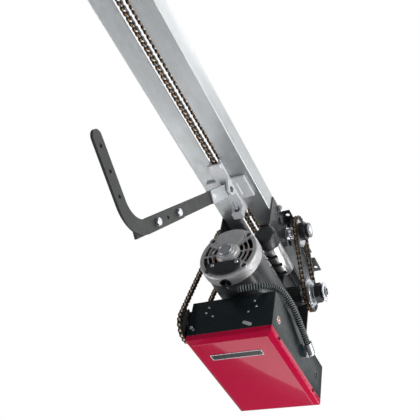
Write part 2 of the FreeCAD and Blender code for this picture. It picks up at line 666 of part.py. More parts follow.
# ---------------------------------------------------------------- electrical box
BUTTON_Y = (-62.0, -38.0, -14.0)


def electrical_box():
    """Lid and four walls, drawn as flat panels, with the tabs that hold the cover."""
    x0 = BOX_X0 + BOX_T
    x1 = BOX_X1 - BOX_T
    y1 = BOX_Y - BOX_T
    z1 = BOX_Z1 - BOX_T
    elbow = conduit_points()[1]
    tools = [rod_y(8.2, 100, 112, elbow.x, elbow.z), rod_y(8.0, -112, -100, LIM_X, LIM_Z)]
    tools += [rod_y(9.5, 104.5, 112, 152.0, -375.0), rod_y(11.0, 104.5, 112, -96.0, -368.0)]
    tools += [rod_z(3.3, BOX_Z1 - 5, BOX_Z1 + 5, x, y) for x, y in hanger_points()]
    tools += [rod_y(2.3, -112, 112, x, BOX_Z0 - 6.0) for x in (139.0, -85.0)]
    panels = [block(BOX_X0, BOX_X1, -BOX_Y, BOX_Y, z1, BOX_Z1),
              block(x1, BOX_X1, -BOX_Y, BOX_Y, BOX_Z0, z1),
              block(BOX_X0, x0, -BOX_Y, BOX_Y, BOX_Z0, z1),
              block(x0, x1, y1, BOX_Y, BOX_Z0, z1),
              block(x0, x1, -BOX_Y, -y1, BOX_Z0, z1)]
    for x in (139.0, -85.0):
        for s in (1, -1):
            tab = block(x - 12, x + 12, y1 - 2.2, y1 - 0.4, BOX_Z0 - 12, BOX_Z0 + 14)
            pad = block(x - 12, x + 12, y1 - 0.4, y1, BOX_Z0 + 2, BOX_Z0 + 14)
            both = fuse([tab, pad])
            panels.append(both if s > 0 else both.mirror(vec(0, 0, 0), vec(0, 1, 0)))
    return [cut(panel, tools) for panel in panels]


def hanger_points():
    return [(-118.0, -52.0), (-118.0, 52.0), (-70.0, -30.0), (-70.0, 30.0)]


def box_hangers():
    """Two rear straps from the head's pan and a saddle under the reducer case, all to the box lid."""
    shapes = []
    for y in (-52.0, 52.0):
        strap = block(-112, -109, y - 16, y + 16, BOX_Z1, HEAD_Z)
        foot = block(-132, -109, y - 16, y + 16, BOX_Z1, BOX_Z1 + 3)
        top = block(-132, -109, y - 16, y + 16, HEAD_Z - 3, HEAD_Z)
        shape = fuse([strap, foot, top])
        holes = [rod_z(3.3, BOX_Z1 - 5, BOX_Z1 + 5, -118.0, y), rod_z(3.3, HEAD_Z - 6, HEAD_Z + 5, -118.0, y)]
        shapes.append(cut(shape, holes))
    saddle = fuse([block(-82, 10, -36, 36, -262, -256), block(-82, -58, -36, 36, BOX_Z1, BOX_Z1 + 3),
                   block(-82, -79, -36, 36, BOX_Z1, -256)])
    saddle = cut(saddle, [rod_z(3.3, BOX_Z1 - 5, BOX_Z1 + 5, -70.0, y) for y in (-30.0, 30.0)])
    shapes.append(saddle)
    return shapes


def hanger_screws():
    shapes = []
    for x, y in hanger_points():
        head = hexagon_z(10.0, x, y, BOX_Z1 + 3, BOX_Z1 + 7)
        shank = rod_z(3.0, BOX_Z1 - 6, BOX_Z1 + 3, x, y)
        shapes.append(fuse([head, shank]))
    for y in (-52.0, 52.0):
        head = hexagon_z(10.0, -118.0, y, HEAD_Z - 7, HEAD_Z - 3)
        shank = rod_z(3.0, HEAD_Z - 3, HEAD_Z + HEAD_T + 5, -118.0, y)
        shapes.append(fuse([head, shank]))
    return shapes


def cover_loop(z0, z1, inset0, inset1, shrink):
    """Four-sided frustum between two levels, with insets from the box outline."""
    def ring(z, inset):
        x0 = BOX_X0 + inset + shrink
        x1 = BOX_X1 - inset - shrink
        y = BOX_Y - inset - shrink
        return Part.makePolygon([vec(x0, -y, z), vec(x1, -y, z), vec(x1, y, z), vec(x0, y, z), vec(x0, -y, z)])
    return Part.makeLoft([ring(z0, inset0), ring(z1, inset1)], True, True)


def cover():
    """Tray of flat panels: floor, sloped rim and upright walls with open screw notches."""
    t = 1.5
    z_top = BOX_Z0 - 0.3
    z_mid = COVER_Z + 6.5
    tray = cover_loop(COVER_Z, z_mid, COVER_BEVEL, 0.0, 0.0).cut(cover_loop(COVER_Z + t, z_mid, COVER_BEVEL, 0.0, t))
    x0 = BOX_X0 + COVER_BEVEL + t
    x1 = BOX_X1 - COVER_BEVEL - t
    y1 = BOX_Y - COVER_BEVEL - t
    middle = block(x0, x1, -y1, y1, COVER_Z - 1, z_mid + 1)
    rim = tray.cut(middle)
    panels = [tray.common(middle)]
    for bounds in ((x1, BOX_X1 + 1, -BOX_Y - 1, BOX_Y + 1), (BOX_X0 - 1, x0, -BOX_Y - 1, BOX_Y + 1),
                   (x0, x1, 0, BOX_Y + 1), (x0, x1, -BOX_Y - 1, 0)):
        panels.append(rim.common(block(*bounds, COVER_Z - 1, z_mid + 1)))
    panels += [block(BOX_X1 - t, BOX_X1, -BOX_Y, BOX_Y, z_mid, z_top),
               block(BOX_X0, BOX_X0 + t, -BOX_Y, BOX_Y, z_mid, z_top)]
    notches = []
    for x in (139.0, -85.0):
        notches.append(block(x - 2.7, x + 2.7, -120, 120, BOX_Z0 - 6, BOX_Z0 + 2))
        notches.append(rod_y(2.7, -120, 120, x, BOX_Z0 - 6))
    for y0 in (BOX_Y - t, -BOX_Y):
        panels.append(cut(block(BOX_X0 + t, BOX_X1 - t, y0, y0 + t, z_mid, z_top), notches))
    return panels


def cover_screws():
    shapes = []
    for x in (139.0, -85.0):
        for s in (1, -1):
            head = rod_y(4.5, BOX_Y + 0.3, BOX_Y + 3.0, x, BOX_Z0 - 6.0)
            shank = rod_y(2.2, BOX_Y - 10, BOX_Y + 0.5, x, BOX_Z0 - 6.0)
            shape = fuse([head, shank])
            if s < 0:
                shape = shape.mirror(vec(0, 0, 0), vec(0, 1, 0))
            shapes.append(shape)
    return shapes


def nameplate():
    return block(112.0, 127.0, -69.0, 69.0, COVER_Z - 1.0, COVER_Z)


def logic_board():
    """Circuit board on its steel tray, standing off the box lid."""
    tray = block(-60, 90, -20, 96, -326, -324)
    legs = [rod_z(3.0, -324.5, BOX_Z1 - BOX_T, x, y) for x in (-54, 84) for y in (-14, 90)]
    board = block(-54, 84, -14, 90, -334, -332)
    posts = [rod_z(2.5, -332.5, -325.5, x, y) for x in (-48, 78) for y in (-8, 84)]
    parts = [block(-40, 0, 10, 40, -350, -333.5), block(20, 60, 50, 80, -345, -333.5)]
    return fuse([tray, board] + legs + posts + parts)


def button_case():
    """Three-button station, open to the inside of the cover."""
    body = block(96, 132, -76, 0, -405, -345)
    stem = block(104, 124, -70, -6, -346, BOX_Z1 - BOX_T)
    shape = fuse([body, stem])
    for y in BUTTON_Y:
        shape = shape.cut(rod_z(7.3, -410, -390, 114.0, y))
    return shape


def button(y):
    cap = rod_z(7.0, -408.0, -398.0, 114.0, y)
    return cap


# ---------------------------------------------------------------- limit mechanism
def limit_shaft():
    shaft = rod_y(LIM_R, Y_LIM - 6.0, 70.0, LIM_X, LIM_Z)
    return shaft


def limit_shaft_sprocket():
    hub = rod_y(14.0, Y_LIM, Y_LIM + 7.5, LIM_X, LIM_Z)
    shape = fuse([sprocket(N_LIM_LOW, LIM_X, LIM_Z, Y_LIM, chain_layout(*LIMIT_LOOP)[4]), hub])
    return cut(shape, [rod_y(LIM_R, Y_LIM - 5, Y_LIM + 15, LIM_X, LIM_Z)])


def limit_nuts():
    shapes = []
    for y in (-60.0, 12.0):
        nut = rod_y(10.0, y - 5, y + 5, LIM_X, LIM_Z)
        shapes.append(cut(nut, [rod_y(LIM_R + 0.08, y - 8, y + 8, LIM_X, LIM_Z)]))
    return shapes


def limit_bracket():
    """Bent plate on the box front wall that carries both ends of the limit shaft and the switches."""
    ends = [block(158.0, BOX_X1 - BOX_T, y0, y0 + 3.0, -392, -345) for y0 in (-86.0, 60.0)]
    back = block(BOX_X1 - BOX_T - 2.0, BOX_X1 - BOX_T, -86, 63, -358, -345)
    shape = fuse(ends + [back])
    shape = cut(shape, [rod_y(LIM_R + 0.05, -95, 80, LIM_X, LIM_Z)])
    switches = []
    for y in (-80.0, 44.0):
        case = block(163.0, 181.5, y, y + 12.0, -358.0, -345.0)
        switches.append(case)
    return fuse([shape] + switches)


# ---------------------------------------------------------------- trolley and door arm
def trolley_body():
    """Casting: chain trough in the track gap, wings under and over the rails, clevis, take-up lug."""
    floor = fuse([block(215, 385, -15, 15, -68, -64.0), block(327, 385, -19.5, 19.5, -68, -64)])
    walls = [block(215, 385, s * 15 - (6.5 if s > 0 else 0), s * 15 + (0 if s > 0 else 6.5), -68, -44) for s in (1, -1)]
    wings = block(255, 325, -52, 52, -60, -53)
    wings = wings.cut(block(250, 330, -8.5, 8.5, -62, -50))
    guides = []
    for s in (1, -1):
        guides.append(block(235, 365, min(s * 14, s * 40), max(s * 14, s * 40), -47.8, -44))
    ears = []
    for s in (1, -1):
        outline = [(290, -66), (330, -66), (330, -74), (318, -92), (302, -92), (290, -74)]
        ears.append(plate_xz(outline, min(s * 8, s * 15), max(s * 8, s * 15)))
    lug = block(221, 240, -14, 14, -96, -66)
    shape = fuse([floor] + walls + [wings] + guides + ears + [lug])
    tools = [rod_y(5.05, -20, 20, PIVOT_X, PIVOT_Z), rod_x(4.3, 215, 245, 0, -81.0), rod_x(8.0, 237, 245, 0, -81.0)]
    return cut(shape, tools)


def takeup_bolt():
    screw = rod_x(4.0, 209, 268, 0, -81.0)
    nuts = [hexagon_x(12.7, 0, -81.0, 214.5, 221), hexagon_x(12.7, 0, -81.0, 237, 243)]
    return fuse([screw] + nuts)


def pivot_pin():
    pin = rod_y(5.0, -20, 15, PIVOT_X, PIVOT_Z)
    head = rod_y(8.0, 15, 19, PIVOT_X, PIVOT_Z)
    clip = rod_y(7.0, -18.5, -15.2, PIVOT_X, PIVOT_Z)
    return fuse([pin, head, clip])


def arm_place(shape):
    """Turn an arm drawn along +X from the pivot into its working direction."""
    shape.rotate(vec(0, 0, 0), vec(0, 1, 0), 90.0 - ARM_ANGLE)
    shape.translate(vec(PIVOT_X, 0, PIVOT_Z))
    return shape


def arm_sleeve():
    """Folded steel channel round the straight arm, rounded at the pivot."""
    body = block(0, 104, -6.5, 6.5, -16, 16)
    body = body.cut(block(24, 130, -3.1, 3.1, -15.05, 15.05))
    nose = rod_y(12.5, -6.5, 6.5, 0, 0)
    neck = plate_xz([(0, -12.5), (14, -16), (14, 16), (0, 12.5)], -6.5, 6.5)
    body = body.cut(block(-20, 13, -10, 10, -20, 20))
    shape = fuse([body, nose, neck])
    return arm_place(cut(shape, [rod_y(5.05, -10, 10, 0, 0), rod_y(4.2, -10, 10, 70, 0)]))


def straight_arm():
    bar = block(30, 476, -ARM_T / 2, ARM_T / 2, -ARM_W / 2, ARM_W / 2)
    holes = [rod_y(4.3, -5, 5, 298.0 + k * ARM_PITCH, 0) for k in range(3)] + [rod_y(4.2, -5, 5, 70, 0)]
    return arm_place(cut(bar, holes))


def curved_arm():
    """Bent bar with a rounded end, lying on the +Y face of the straight arm."""
    y0 = ARM_T / 2
    half = ARM_W / 2
    turn = math.radians(ARM_TURN)
    back = ARM_BEND_R * math.tan(turn / 2)
    cx = ARM_CORNER - back
    ux = math.cos(turn)
    uz = math.sin(turn)

    def on_bend(r, a):
        return vec(cx + r * math.cos(a - math.pi / 2), y0, ARM_BEND_R + r * math.sin(a - math.pi / 2))

    def bend(r):
        return Part.Arc(on_bend(r, 0), on_bend(r, turn / 2), on_bend(r, turn)).toShape()

    run = vec(ux, 0, uz) * (ARM_LEG - back)
    outer_end = on_bend(ARM_BEND_R + half, turn)
    inner_end = on_bend(ARM_BEND_R - half, turn)
    tip = vec(ARM_CORNER + ux * (ARM_LEG + half), y0, uz * (ARM_LEG + half))
    start_low = vec(276, y0, -half)
    start_high = vec(276, y0, half)
    edges = [Part.makeLine(start_low, on_bend(ARM_BEND_R + half, 0)), bend(ARM_BEND_R + half),
             Part.makeLine(outer_end, outer_end + run),
             Part.Arc(outer_end + run, tip, inner_end + run).toShape(),
             Part.makeLine(inner_end + run, inner_end), bend(ARM_BEND_R - half),
             Part.makeLine(on_bend(ARM_BEND_R - half, 0), start_high), Part.makeLine(start_high, start_low)]
    bar = Part.Face(Part.Wire(Part.__sortEdges__(edges))).extrude(vec(0, ARM_T, 0))
    tools = [rod_y(4.3, 0, 12, 298.0 + k * ARM_PITCH, 0) for k in range(3)]
    for k in range(3):
        t = 72.0 + k * ARM_PITCH
        tools.append(rod_y(4.3, 0, 12, ARM_CORNER + ux * t, uz * t))
    return arm_place(cut(bar, tools))


def arm_bolts():
    shapes = []
    for s in (298.0, 298.0 + 2 * ARM_PITCH):
        head = hexagon(15.9, s, 0, 9.0, 15.5)
        shank = rod_y(4.2, -14.0, 9.0, s, 0)
        nut = hexagon(14.0, s, 0, -10.5, -3.0)
        shapes.append(arm_place(fuse([head, shank, nut])))
    rivet = fuse([rod_y(4.1, -6.5, 6.5, 70, 0), rod_y(7.0, 6.5, 7.7, 70, 0), rod_y(7.0, -7.7, -6.5, 70, 0)])
    shapes.append(arm_place(rivet))
    return shapes


# ---------------------------------------------------------------- write every piece
save("rail_left", rail(-1))
save("rail_right", rail(1))
save("track_spacers", track_spacers())
save("rail_bolts", rail_bolts())
save("header_bracket", header_bracket())
save("idler_bracket", idler_bracket())
save("idler_sprocket", idler_sprocket())
save("head_frame", head_frame())
save("shaft_bearings", shaft_bearings())
save("bearing_bolts", bearing_bolts())
save("drive_shaft", drive_shaft())
save("drive_sprocket", drive_sprocket())
save("driven_sprocket", driven_sprocket())
save("limit_drive_sprocket", limit_drive_sprocket())
save("shaft_end_washer", shaft_end_washer())
save("trolley_chain", chain(*TROLLEY_LOOP, 0.0))
save("reduction_chain", chain(*REDUCTION_LOOP, Y_RED))
save("limit_chain", chain(*LIMIT_LOOP, Y_LIM))
save("reducer_housing", reducer_housing())
save("reducer_cover", reducer_cover())
save("output_shaft", output_shaft())
save("worm_wheel", worm_wheel())
save("clutch_sprocket", clutch_sprocket())
save("clutch_discs", clutch_discs())
save("clutch_nut", clutch_nut())
save("lock_disc", lock_disc())
save("motor_rear_flange", motor_rear_flange())
save("motor_shell", motor_shell())
save("motor_end_bell", motor_end_bell())
save("terminal_cover", terminal_cover())
save("motor_screws", motor_screws())
save("motor_rotor", motor_rotor())
cap_boot, cap_can = capacitor()
save("capacitor_boot", cap_boot)
save("capacitor_can", cap_can)
save("capacitor_clamp", capacitor_clamp())
save("conduit", conduit())
save("conduit_grommet", conduit_grommet())
save("conduit_connector", conduit_connector())
save("electrical_box", electrical_box())
save("box_hangers", box_hangers())
save("frame_screws", foot_bolts() + hanger_screws())
save("cover", cover())
save("cover_screws", cover_screws())
save("nameplate", nameplate())
save("logic_board", logic_board())
save("button_case", button_case())
for label, y_button in zip(("open", "close", "stop"), BUTTON_Y):
    save("button_" + label, button(y_button))
save("limit_shaft", limit_shaft())
save("limit_shaft_sprocket", limit_shaft_sprocket())
save("limit_nuts", limit_nuts())
save("limit_bracket", limit_bracket())
save("trolley_body", trolley_body())
save("takeup_bolt", takeup_bolt())
save("pivot_pin", pivot_pin())
save("arm_sleeve", arm_sleeve())
save("straight_arm", straight_arm())
save("curved_arm", curved_arm())
save("arm_bolts", arm_bolts())
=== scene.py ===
import json
from math import acos, atan2, ceil, cos, degrees, hypot, pi, radians, sin, sqrt

import bmesh
import bpy
from mathutils import Matrix, Vector


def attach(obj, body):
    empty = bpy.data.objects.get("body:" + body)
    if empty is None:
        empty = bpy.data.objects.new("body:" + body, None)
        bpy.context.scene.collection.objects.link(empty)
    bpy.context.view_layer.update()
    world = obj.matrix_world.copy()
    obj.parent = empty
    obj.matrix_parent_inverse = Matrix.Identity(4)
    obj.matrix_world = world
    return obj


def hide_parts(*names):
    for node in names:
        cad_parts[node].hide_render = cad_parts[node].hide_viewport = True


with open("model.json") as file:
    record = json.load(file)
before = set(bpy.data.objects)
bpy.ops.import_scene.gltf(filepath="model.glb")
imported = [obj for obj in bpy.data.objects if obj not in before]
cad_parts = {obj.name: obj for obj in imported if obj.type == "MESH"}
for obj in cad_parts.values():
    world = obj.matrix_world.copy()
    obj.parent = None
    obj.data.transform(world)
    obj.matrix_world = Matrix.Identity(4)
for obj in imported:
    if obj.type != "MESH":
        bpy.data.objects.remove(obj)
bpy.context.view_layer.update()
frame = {"nodes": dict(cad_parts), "record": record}
nodes = frame["nodes"]
scene = bpy.context.scene

# ---- dimensions, mm, in the frame of the CAD
MM = 0.001
TAU = 2 * pi
PITCH = 12.7                    # roller chain
SHAFT = (78, -39)           # x, z of the drive shaft
OUT = (-25.6, -167.5)           # reducer output shaft
LIM = (170.7, -369.1)           # limit shaft
IDLER = (78 + 65.5 * PITCH, -39)
Y_RED = 105                   # plane of the reduction chain
Y_LIM = -118                  # plane of the limit chain
MOTOR = (-4, -224)          # y, z of the motor axis
BELL_BOLTS = [(MOTOR[0] + dy, MOTOR[1] + dz) for dy in (47, -47) for dz in (47, -47)]
LEAD_HOLE = (222, -6)       # x, y of the grommet
CAPACITOR = (60, -133)      # y, z of its axis
BOX_X = (-140, 185)
BOX_Y = 107
BOX_Z = (-410, -316)
COVER_Z = -430
BOX_WALL = 1.5
COVER_SCREWS = [(x, side) for x in (139, -85) for side in (1, -1)]
COVER_SCREW_Z = -416
PLATE = (107, 127, -69, 60)     # x and y limits of the blank plate
KNOCKOUT_FRONT = (152, -375)
KNOCKOUT_REAR = (-96, -368)
RAIL_LEG = 50.8
RAIL_OUTER = 66.7               # y of the rail's outer face
HEAD_WALL = 3
PIVOT = (310, -81)
TAKEUP = (0, -81)           # y, z of the take-up screw
ARM_ANGLE = radians(36)


# ---- camera
def add(name, data):
    """A new object in the scene."""
    obj = bpy.data.objects.new(name, data)
    scene.collection.objects.link(obj)
    return obj


def make_camera():
    right = Vector((-0.425, 0.892, 0.158)).normalized()
    back = Vector((0.608, 0.41, -0.68)).normalized()
    up = back.cross(right).normalized()
    right = up.cross(back)
    data = bpy.data.cameras.new("Camera")
    data.sensor_width = 36
    data.lens = 60.43
    data.clip_end = 50
    cam = add("Camera", data)
    turn = Matrix((right, up, back)).transposed().to_4x4()
    cam.matrix_world = Matrix.Translation((1.35, 0.668, -1.302)) @ turn
    scene.camera = cam


make_camera()


# ---- materials
class Look:
    """A procedural material: its nodes, and the shader they feed."""

    def __init__(self, name):
        self.mat = bpy.data.materials.new(name)
        self.mat.use_nodes = True
        self.tree = self.mat.node_tree
        self.shader = self.tree.nodes["Principled BSDF"]
        self.coord = self.tree.nodes.new("ShaderNodeTexCoord").outputs["Object"]

    def node(self, kind, **settings):
        node = self.tree.nodes.new("ShaderNode" + kind)
        for key, value in settings.items():
            setattr(node, key, value)
        return node

    def link(self, a, b):
        self.tree.links.new(a, b)

    def mapped(self, scale):
        m = self.node("Mapping")
        m.inputs["Scale"].default_value = scale
        self.link(self.coord, m.inputs["Vector"])
        return m.outputs["Vector"]

    def noise(self, scale, detail=3, stretch=(1, 1, 1), rough=0.55):
        n = self.node("TexNoise")
        n.inputs["Scale"].default_value = scale
        n.inputs["Detail"].default_value = detail
        n.inputs["Roughness"].default_value = rough
        self.link(self.mapped(stretch), n.inputs["Vector"])
        return n.outputs["Fac"]

    def cells(self, scale, stretch=(1, 1, 1), feature="F1"):
        n = self.node("TexVoronoi", feature=feature)
        n.inputs["Scale"].default_value = scale
        self.link(self.mapped(stretch), n.inputs["Vector"])
        return n

    def ramp(self, fac, stops):
        n = self.node("ValToRGB")
        els = n.color_ramp.elements
        while len(els) < len(stops):
            els.new(0.5)
        for el, (pos, col) in zip(els, stops):
            el.position = pos
            el.color = (*col, 1)
        self.link(fac, n.inputs["Fac"])
        return n.outputs["Color"]

    def spread(self, fac, lo, hi, to_lo, to_hi):
        n = self.node("MapRange", clamp=True)
        for key, value in (("From Min", lo), ("From Max", hi), ("To Min", to_lo), ("To Max", to_hi)):
            n.inputs[key].default_value = value
        self.link(fac, n.inputs["Value"])
        return n.outputs["Result"]

    def mix(self, fac, a, colour):
        """An output mixed with a plain colour."""
        n = self.node("Mix", data_type="RGBA")
        self.link(fac, n.inputs[0])
        self.link(a, n.inputs[6])
        n.inputs[7].default_value = (*colour, 1)
        return n.outputs[2]

    def math(self, op, a, b):
        """Sum or product of an output with another output or a number."""
        n = self.node("Math", operation=op)
        self.link(a, n.inputs[0])
        if isinstance(b, float):
            n.inputs[1].default_value = b
        else:
            self.link(b, n.inputs[1])
        return n.outputs[0]

    def times(self, a, b):
        return self.math("MULTIPLY", a, b)

    def blend(self, a, share, b):
        """Two outputs added, the first with the given share."""
        return self.math("ADD", self.times(a, share), self.times(b, 1 - share))

    def bump(self, height, strength, distance):
        n = self.node("Bump")
        n.inputs["Strength"].default_value = strength
        n.inputs["Distance"].default_value = distance
        self.link(height, n.inputs["Height"])
        return n.outputs["Normal"]

    def edges(self, radius, sharp=0.9):
        """1 on outside corners, 0 on flats, broken up by noise."""
        b = self.node("Bevel", samples=4)
        b.inputs["Radius"].default_value = radius
        g = self.node("NewGeometry")
        d = self.node("VectorMath", operation="DOT_PRODUCT")
        self.link(b.outputs["Normal"], d.inputs[0])
        self.link(g.outputs["Normal"], d.inputs[1])
        mask = self.spread(d.outputs["Value"], sharp, 0.995, 1, 0)
        chips = self.spread(self.noise(260, 4), 0.42, 0.62, 0, 1)
        return self.times(mask, chips)

    def out(self, **sockets):
        for key, value in sockets.items():
            socket = self.shader.inputs[key.replace("_", " ")]
            if isinstance(value, (int, float)):
                socket.default_value = value
            elif isinstance(value, (tuple, list)):
                socket.default_value = tuple(value) + (1,)
            else:
                self.link(value, socket)
        return self.mat


def galvanised():
    k = Look("galvanised")
    spangle = k.cells(85, (0.7, 1, 1))
    tone = k.spread(spangle.outputs["Color"], 0, 1, 0, 1)
    streak = k.noise(26, 4, (0.12, 1, 1))
    colour = k.ramp(k.blend(tone, 0.22, streak),
                    [(0.25, (0.44, 0.455, 0.465)), (0.55, (0.53, 0.55, 0.555)), (0.8, (0.61, 0.635, 0.64))])
    fine = k.noise(420, 3, (0.08, 1, 1))
    rough = k.spread(k.math("ADD", k.times(tone, 0.4), fine), 0.3, 1, 0.34, 0.52)
    return k.out(Base_Color=colour, Roughness=rough, Metallic=0.85,
                 Normal=k.bump(fine, 0.12, 0.0002))

BARE_STEEL = (0.32, 0.32, 0.33)
def painted(name, dark, light, rough=(0.28, 0.42), peel=0.1, wear=True, spec=0.5):
    """Sprayed paint over steel: faint orange peel, dust in the tone, bare metal at chipped corners."""
    k = Look(name)
    cloud = k.noise(14, 4)
    colour = k.ramp(cloud, [(0.3, dark), (0.75, light)])
    skin = k.noise(520, 2)
    roughness = k.spread(k.noise(38, 5), 0.3, 0.7, *rough)
    if wear:
        chip = k.edges(0.0011)
        colour = k.mix(k.times(chip, 0.75), colour, BARE_STEEL)
        k.link(k.times(chip, 0.6), k.shader.inputs["Metallic"])
    return k.out(Base_Color=colour, Roughness=roughness, Specular_IOR_Level=spec,
                 Normal=k.bump(skin, peel, 0.00025))


def plated(name, low, high, rough=(0.18, 0.34), stretch=(1, 1, 1), metallic=1, brush=0.1):
    """Zinc plate or turned steel: brushed along one direction, cloudy in tone."""
    k = Look(name)
    cloud = k.noise(45, 4)
    brushed = k.noise(700, 3, stretch)
    colour = k.ramp(k.blend(cloud, 0.7, brushed), [(0.32, low), (0.68, high)])
    roughness = k.spread(k.noise(110, 4), 0.3, 0.7, *rough)
    return k.out(Base_Color=colour, Roughness=roughness, Metallic=metallic,
                 Normal=k.bump(brushed, brush, 0.0001))


def cast(name, low, high, grain, rough, metallic, depth=0.5):
    """Sand-cast skin: coarse grain in the relief and speckle in the tone."""
    k = Look(name)
    grit = k.noise(grain, 5, rough=0.65)
    cloud = k.noise(30, 3)
    colour = k.ramp(k.blend(grit, 0.55, cloud), [(0.34, low), (0.62, high)])
    worn = k.edges(0.0012, 0.93)
    colour = k.mix(k.times(worn, 0.35), colour, tuple(min(1, c * 1.35) for c in high))
    roughness = k.spread(grit, 0.3, 0.7, *rough)
    return k.out(Base_Color=colour, Roughness=roughness, Metallic=metallic,
                 Normal=k.bump(grit, depth, 0.0006))


def moulded(name, low, high, rough=(0.35, 0.5), grain=900, depth=0.12):
    """Moulded plastic or rubber with a fine spark-eroded texture."""
    k = Look(name)
    pits = k.noise(grain, 2)
    colour = k.ramp(k.noise(22, 4), [(0.3, low), (0.7, high)])
    roughness = k.spread(k.noise(60, 4), 0.3, 0.7, *rough)
    return k.out(Base_Color=colour, Roughness=roughness, Normal=k.bump(pits, depth, 0.0002))


def cover_paint():
    k = Look("cover_paint")
    colour = k.ramp(k.noise(9, 3), [(0.3, (0.31, 0.0002, 0.026)), (0.75, (0.35, 0.0004, 0.031))])
    peel = k.noise(330, 2)
    rough = k.spread(k.noise(24, 4), 0.3, 0.7, 0.16, 0.22)
    scuff = k.times(k.edges(0.0009, 0.9), 0.35)
    colour = k.mix(scuff, colour, (0.75, 0.16, 0.18))
    return k.out(Base_Color=colour, Roughness=rough, Specular_IOR_Level=0.06,
                 Coat_Weight=0.3, Coat_Roughness=0.04, Normal=k.bump(peel, 0.03, 0.0002))


def circuit():
    k = Look("circuit_board")
    tracks = k.cells(260, (1, 0.35, 1), "DISTANCE_TO_EDGE").outputs["Distance"]
    colour = k.ramp(tracks, [(0.02, (0.05, 0.33, 0.13)), (0.07, (0.012, 0.13, 0.05))])
    rough = k.spread(k.noise(60, 3), 0.3, 0.7, 0.25, 0.42)
    return k.out(Base_Color=colour, Roughness=rough, Normal=k.bump(tracks, 0.2, 0.0001))


PAINT = {       # dark, light, roughness, orange peel
    "black_frame": ((0.01, 0.011, 0.012), (0.018, 0.019, 0.021), (0.3, 0.44), 0.08),
    "box_paint": ((0.0035, 0.0075, 0.009), (0.007, 0.012, 0.014), (0.24, 0.34), 0.06, True, 0.25),
    "arm_paint": ((0.018, 0.019, 0.018), (0.03, 0.031, 0.03), (0.4, 0.55), 0.12),
    "motor_shell": ((0.022, 0.023, 0.025), (0.04, 0.042, 0.045), (0.26, 0.36), 0.05),
    "tag_grey": ((0.24, 0.25, 0.25), (0.32, 0.33, 0.33), (0.35, 0.5), 0.05, False),
    "plate": ((0.004, 0.004, 0.004), (0.008, 0.008, 0.008), (0.22, 0.3), 0.03, False, 0.3),
}
EVEN = (1, 1, 1)
METAL = {       # low, high, roughness, brushing stretch, metallic, brushing depth
    "zinc_steel": ((0.48, 0.49, 0.51), (0.62, 0.63, 0.66), (0.34, 0.46), EVEN, 1, 0.03),
    "dull_zinc": ((0.18, 0.18, 0.19), (0.28, 0.28, 0.29), (0.38, 0.5), EVEN, 1, 0.03),
    "bright_zinc": ((0.72, 0.74, 0.79), (0.86, 0.88, 0.93), (0.24, 0.34), EVEN, 1, 0.02),
    "sleeve_metal": ((0.52, 0.55, 0.56), (0.62, 0.65, 0.66), (0.3, 0.42), EVEN, 0.75, 0.04),
    "dark_steel": ((0.05, 0.05, 0.053), (0.12, 0.12, 0.125), (0.3, 0.45), EVEN, 0.8),
    "black_steel": ((0.012, 0.012, 0.013), (0.035, 0.035, 0.037), (0.26, 0.4), EVEN, 0.5),
    "chain_plate": ((0.012, 0.012, 0.012), (0.045, 0.044, 0.042), (0.3, 0.5), EVEN, 0.7),
    "chain_roller": ((0.42, 0.19, 0.07), (0.72, 0.4, 0.17), (0.25, 0.42), EVEN, 0.9),
    "pale_roller": ((0.8, 0.56, 0.34), (0.96, 0.78, 0.56), (0.34, 0.48), EVEN, 0.55),
    "capacitor_metal": ((0.74, 0.74, 0.74), (0.86, 0.86, 0.86), (0.26, 0.38), (0.05, 1, 1), 1, 0.03),
    "bronze": ((0.42, 0.26, 0.1), (0.6, 0.41, 0.19), (0.25, 0.4)),
    "copper": ((0.45, 0.16, 0.06), (0.7, 0.3, 0.14), (0.25, 0.4), (1, 1, 0.1)),
}
CASTING = {     # low, high, grain, roughness, metallic, relief
    "cast_aluminium": ((0.3, 0.3, 0.31), (0.58, 0.57, 0.57), 520, (0.38, 0.6), 0.65),
    "cast_trolley": ((0.46, 0.47, 0.49), (0.6, 0.61, 0.63), 300, (0.42, 0.58), 0.25, 0.25),
    "cast_iron": ((0.01, 0.0105, 0.011), (0.03, 0.031, 0.033), 420, (0.35, 0.55), 0.2, 0.35),
}
PLASTIC = {     # low, high, roughness, grain, relief
    "black_plastic": ((0.008, 0.009, 0.01), (0.016, 0.017, 0.019)),
    "soft_black": ((0.006, 0.007, 0.007), (0.014, 0.015, 0.015), (0.24, 0.36), 600, 0.06),
    "conduit_black": ((0.008, 0.011, 0.012), (0.016, 0.022, 0.023), (0.18, 0.26), 700, 0.04),
    # lighter colour on the rib crests of the conduit: painted highlight
    "conduit_crest": ((0.085, 0.1, 0.1), (0.15, 0.17, 0.17), (0.24, 0.34), 700, 0.04),
    "lead_black": ((0.006, 0.006, 0.007), (0.014, 0.014, 0.015), (0.12, 0.2), 300, 0.03),
    "white_plastic": ((0.66, 0.66, 0.63), (0.76, 0.76, 0.74)),
    "red_plastic": ((0.42, 0.01, 0.01), (0.52, 0.018, 0.016)),
    # near-black filler for the inside of the motor behind the vents and for the bolt holes: painted shade
    "dark_gap": ((0.003, 0.003, 0.003), (0.006, 0.006, 0.006), (0.7, 0.9)),
}
M = {"galvanised_steel": galvanised(), "red_cover": cover_paint(), "green_board": circuit()}
for maker, table in ((painted, PAINT), (plated, METAL), (cast, CASTING), (moulded, PLASTIC)):
    for look_name, settings in table.items():
        M[look_name] = maker(look_name, *settings)


# ---- mesh helpers
def along_x(y, z):
    """Places a piece drawn as (u, v, w) with its axis w along X."""
    return lambda u, v, w: (w, y + u, z + v)


def along_y(x, z):
    return lambda u, v, w: (x + u, w, z + v)


def along_z(x, y):
    return lambda u, v, w: (x + u, y + v, w)


def on_arm(s, t, w):
    """A point on the door arm: s along the bar, t across it, w along Y."""
    sa = sin(ARM_ANGLE)
    ca = cos(ARM_ANGLE)
    return (PIVOT[0] + sa * s + ca * t, w, PIVOT[1] - ca * s + sa * t)


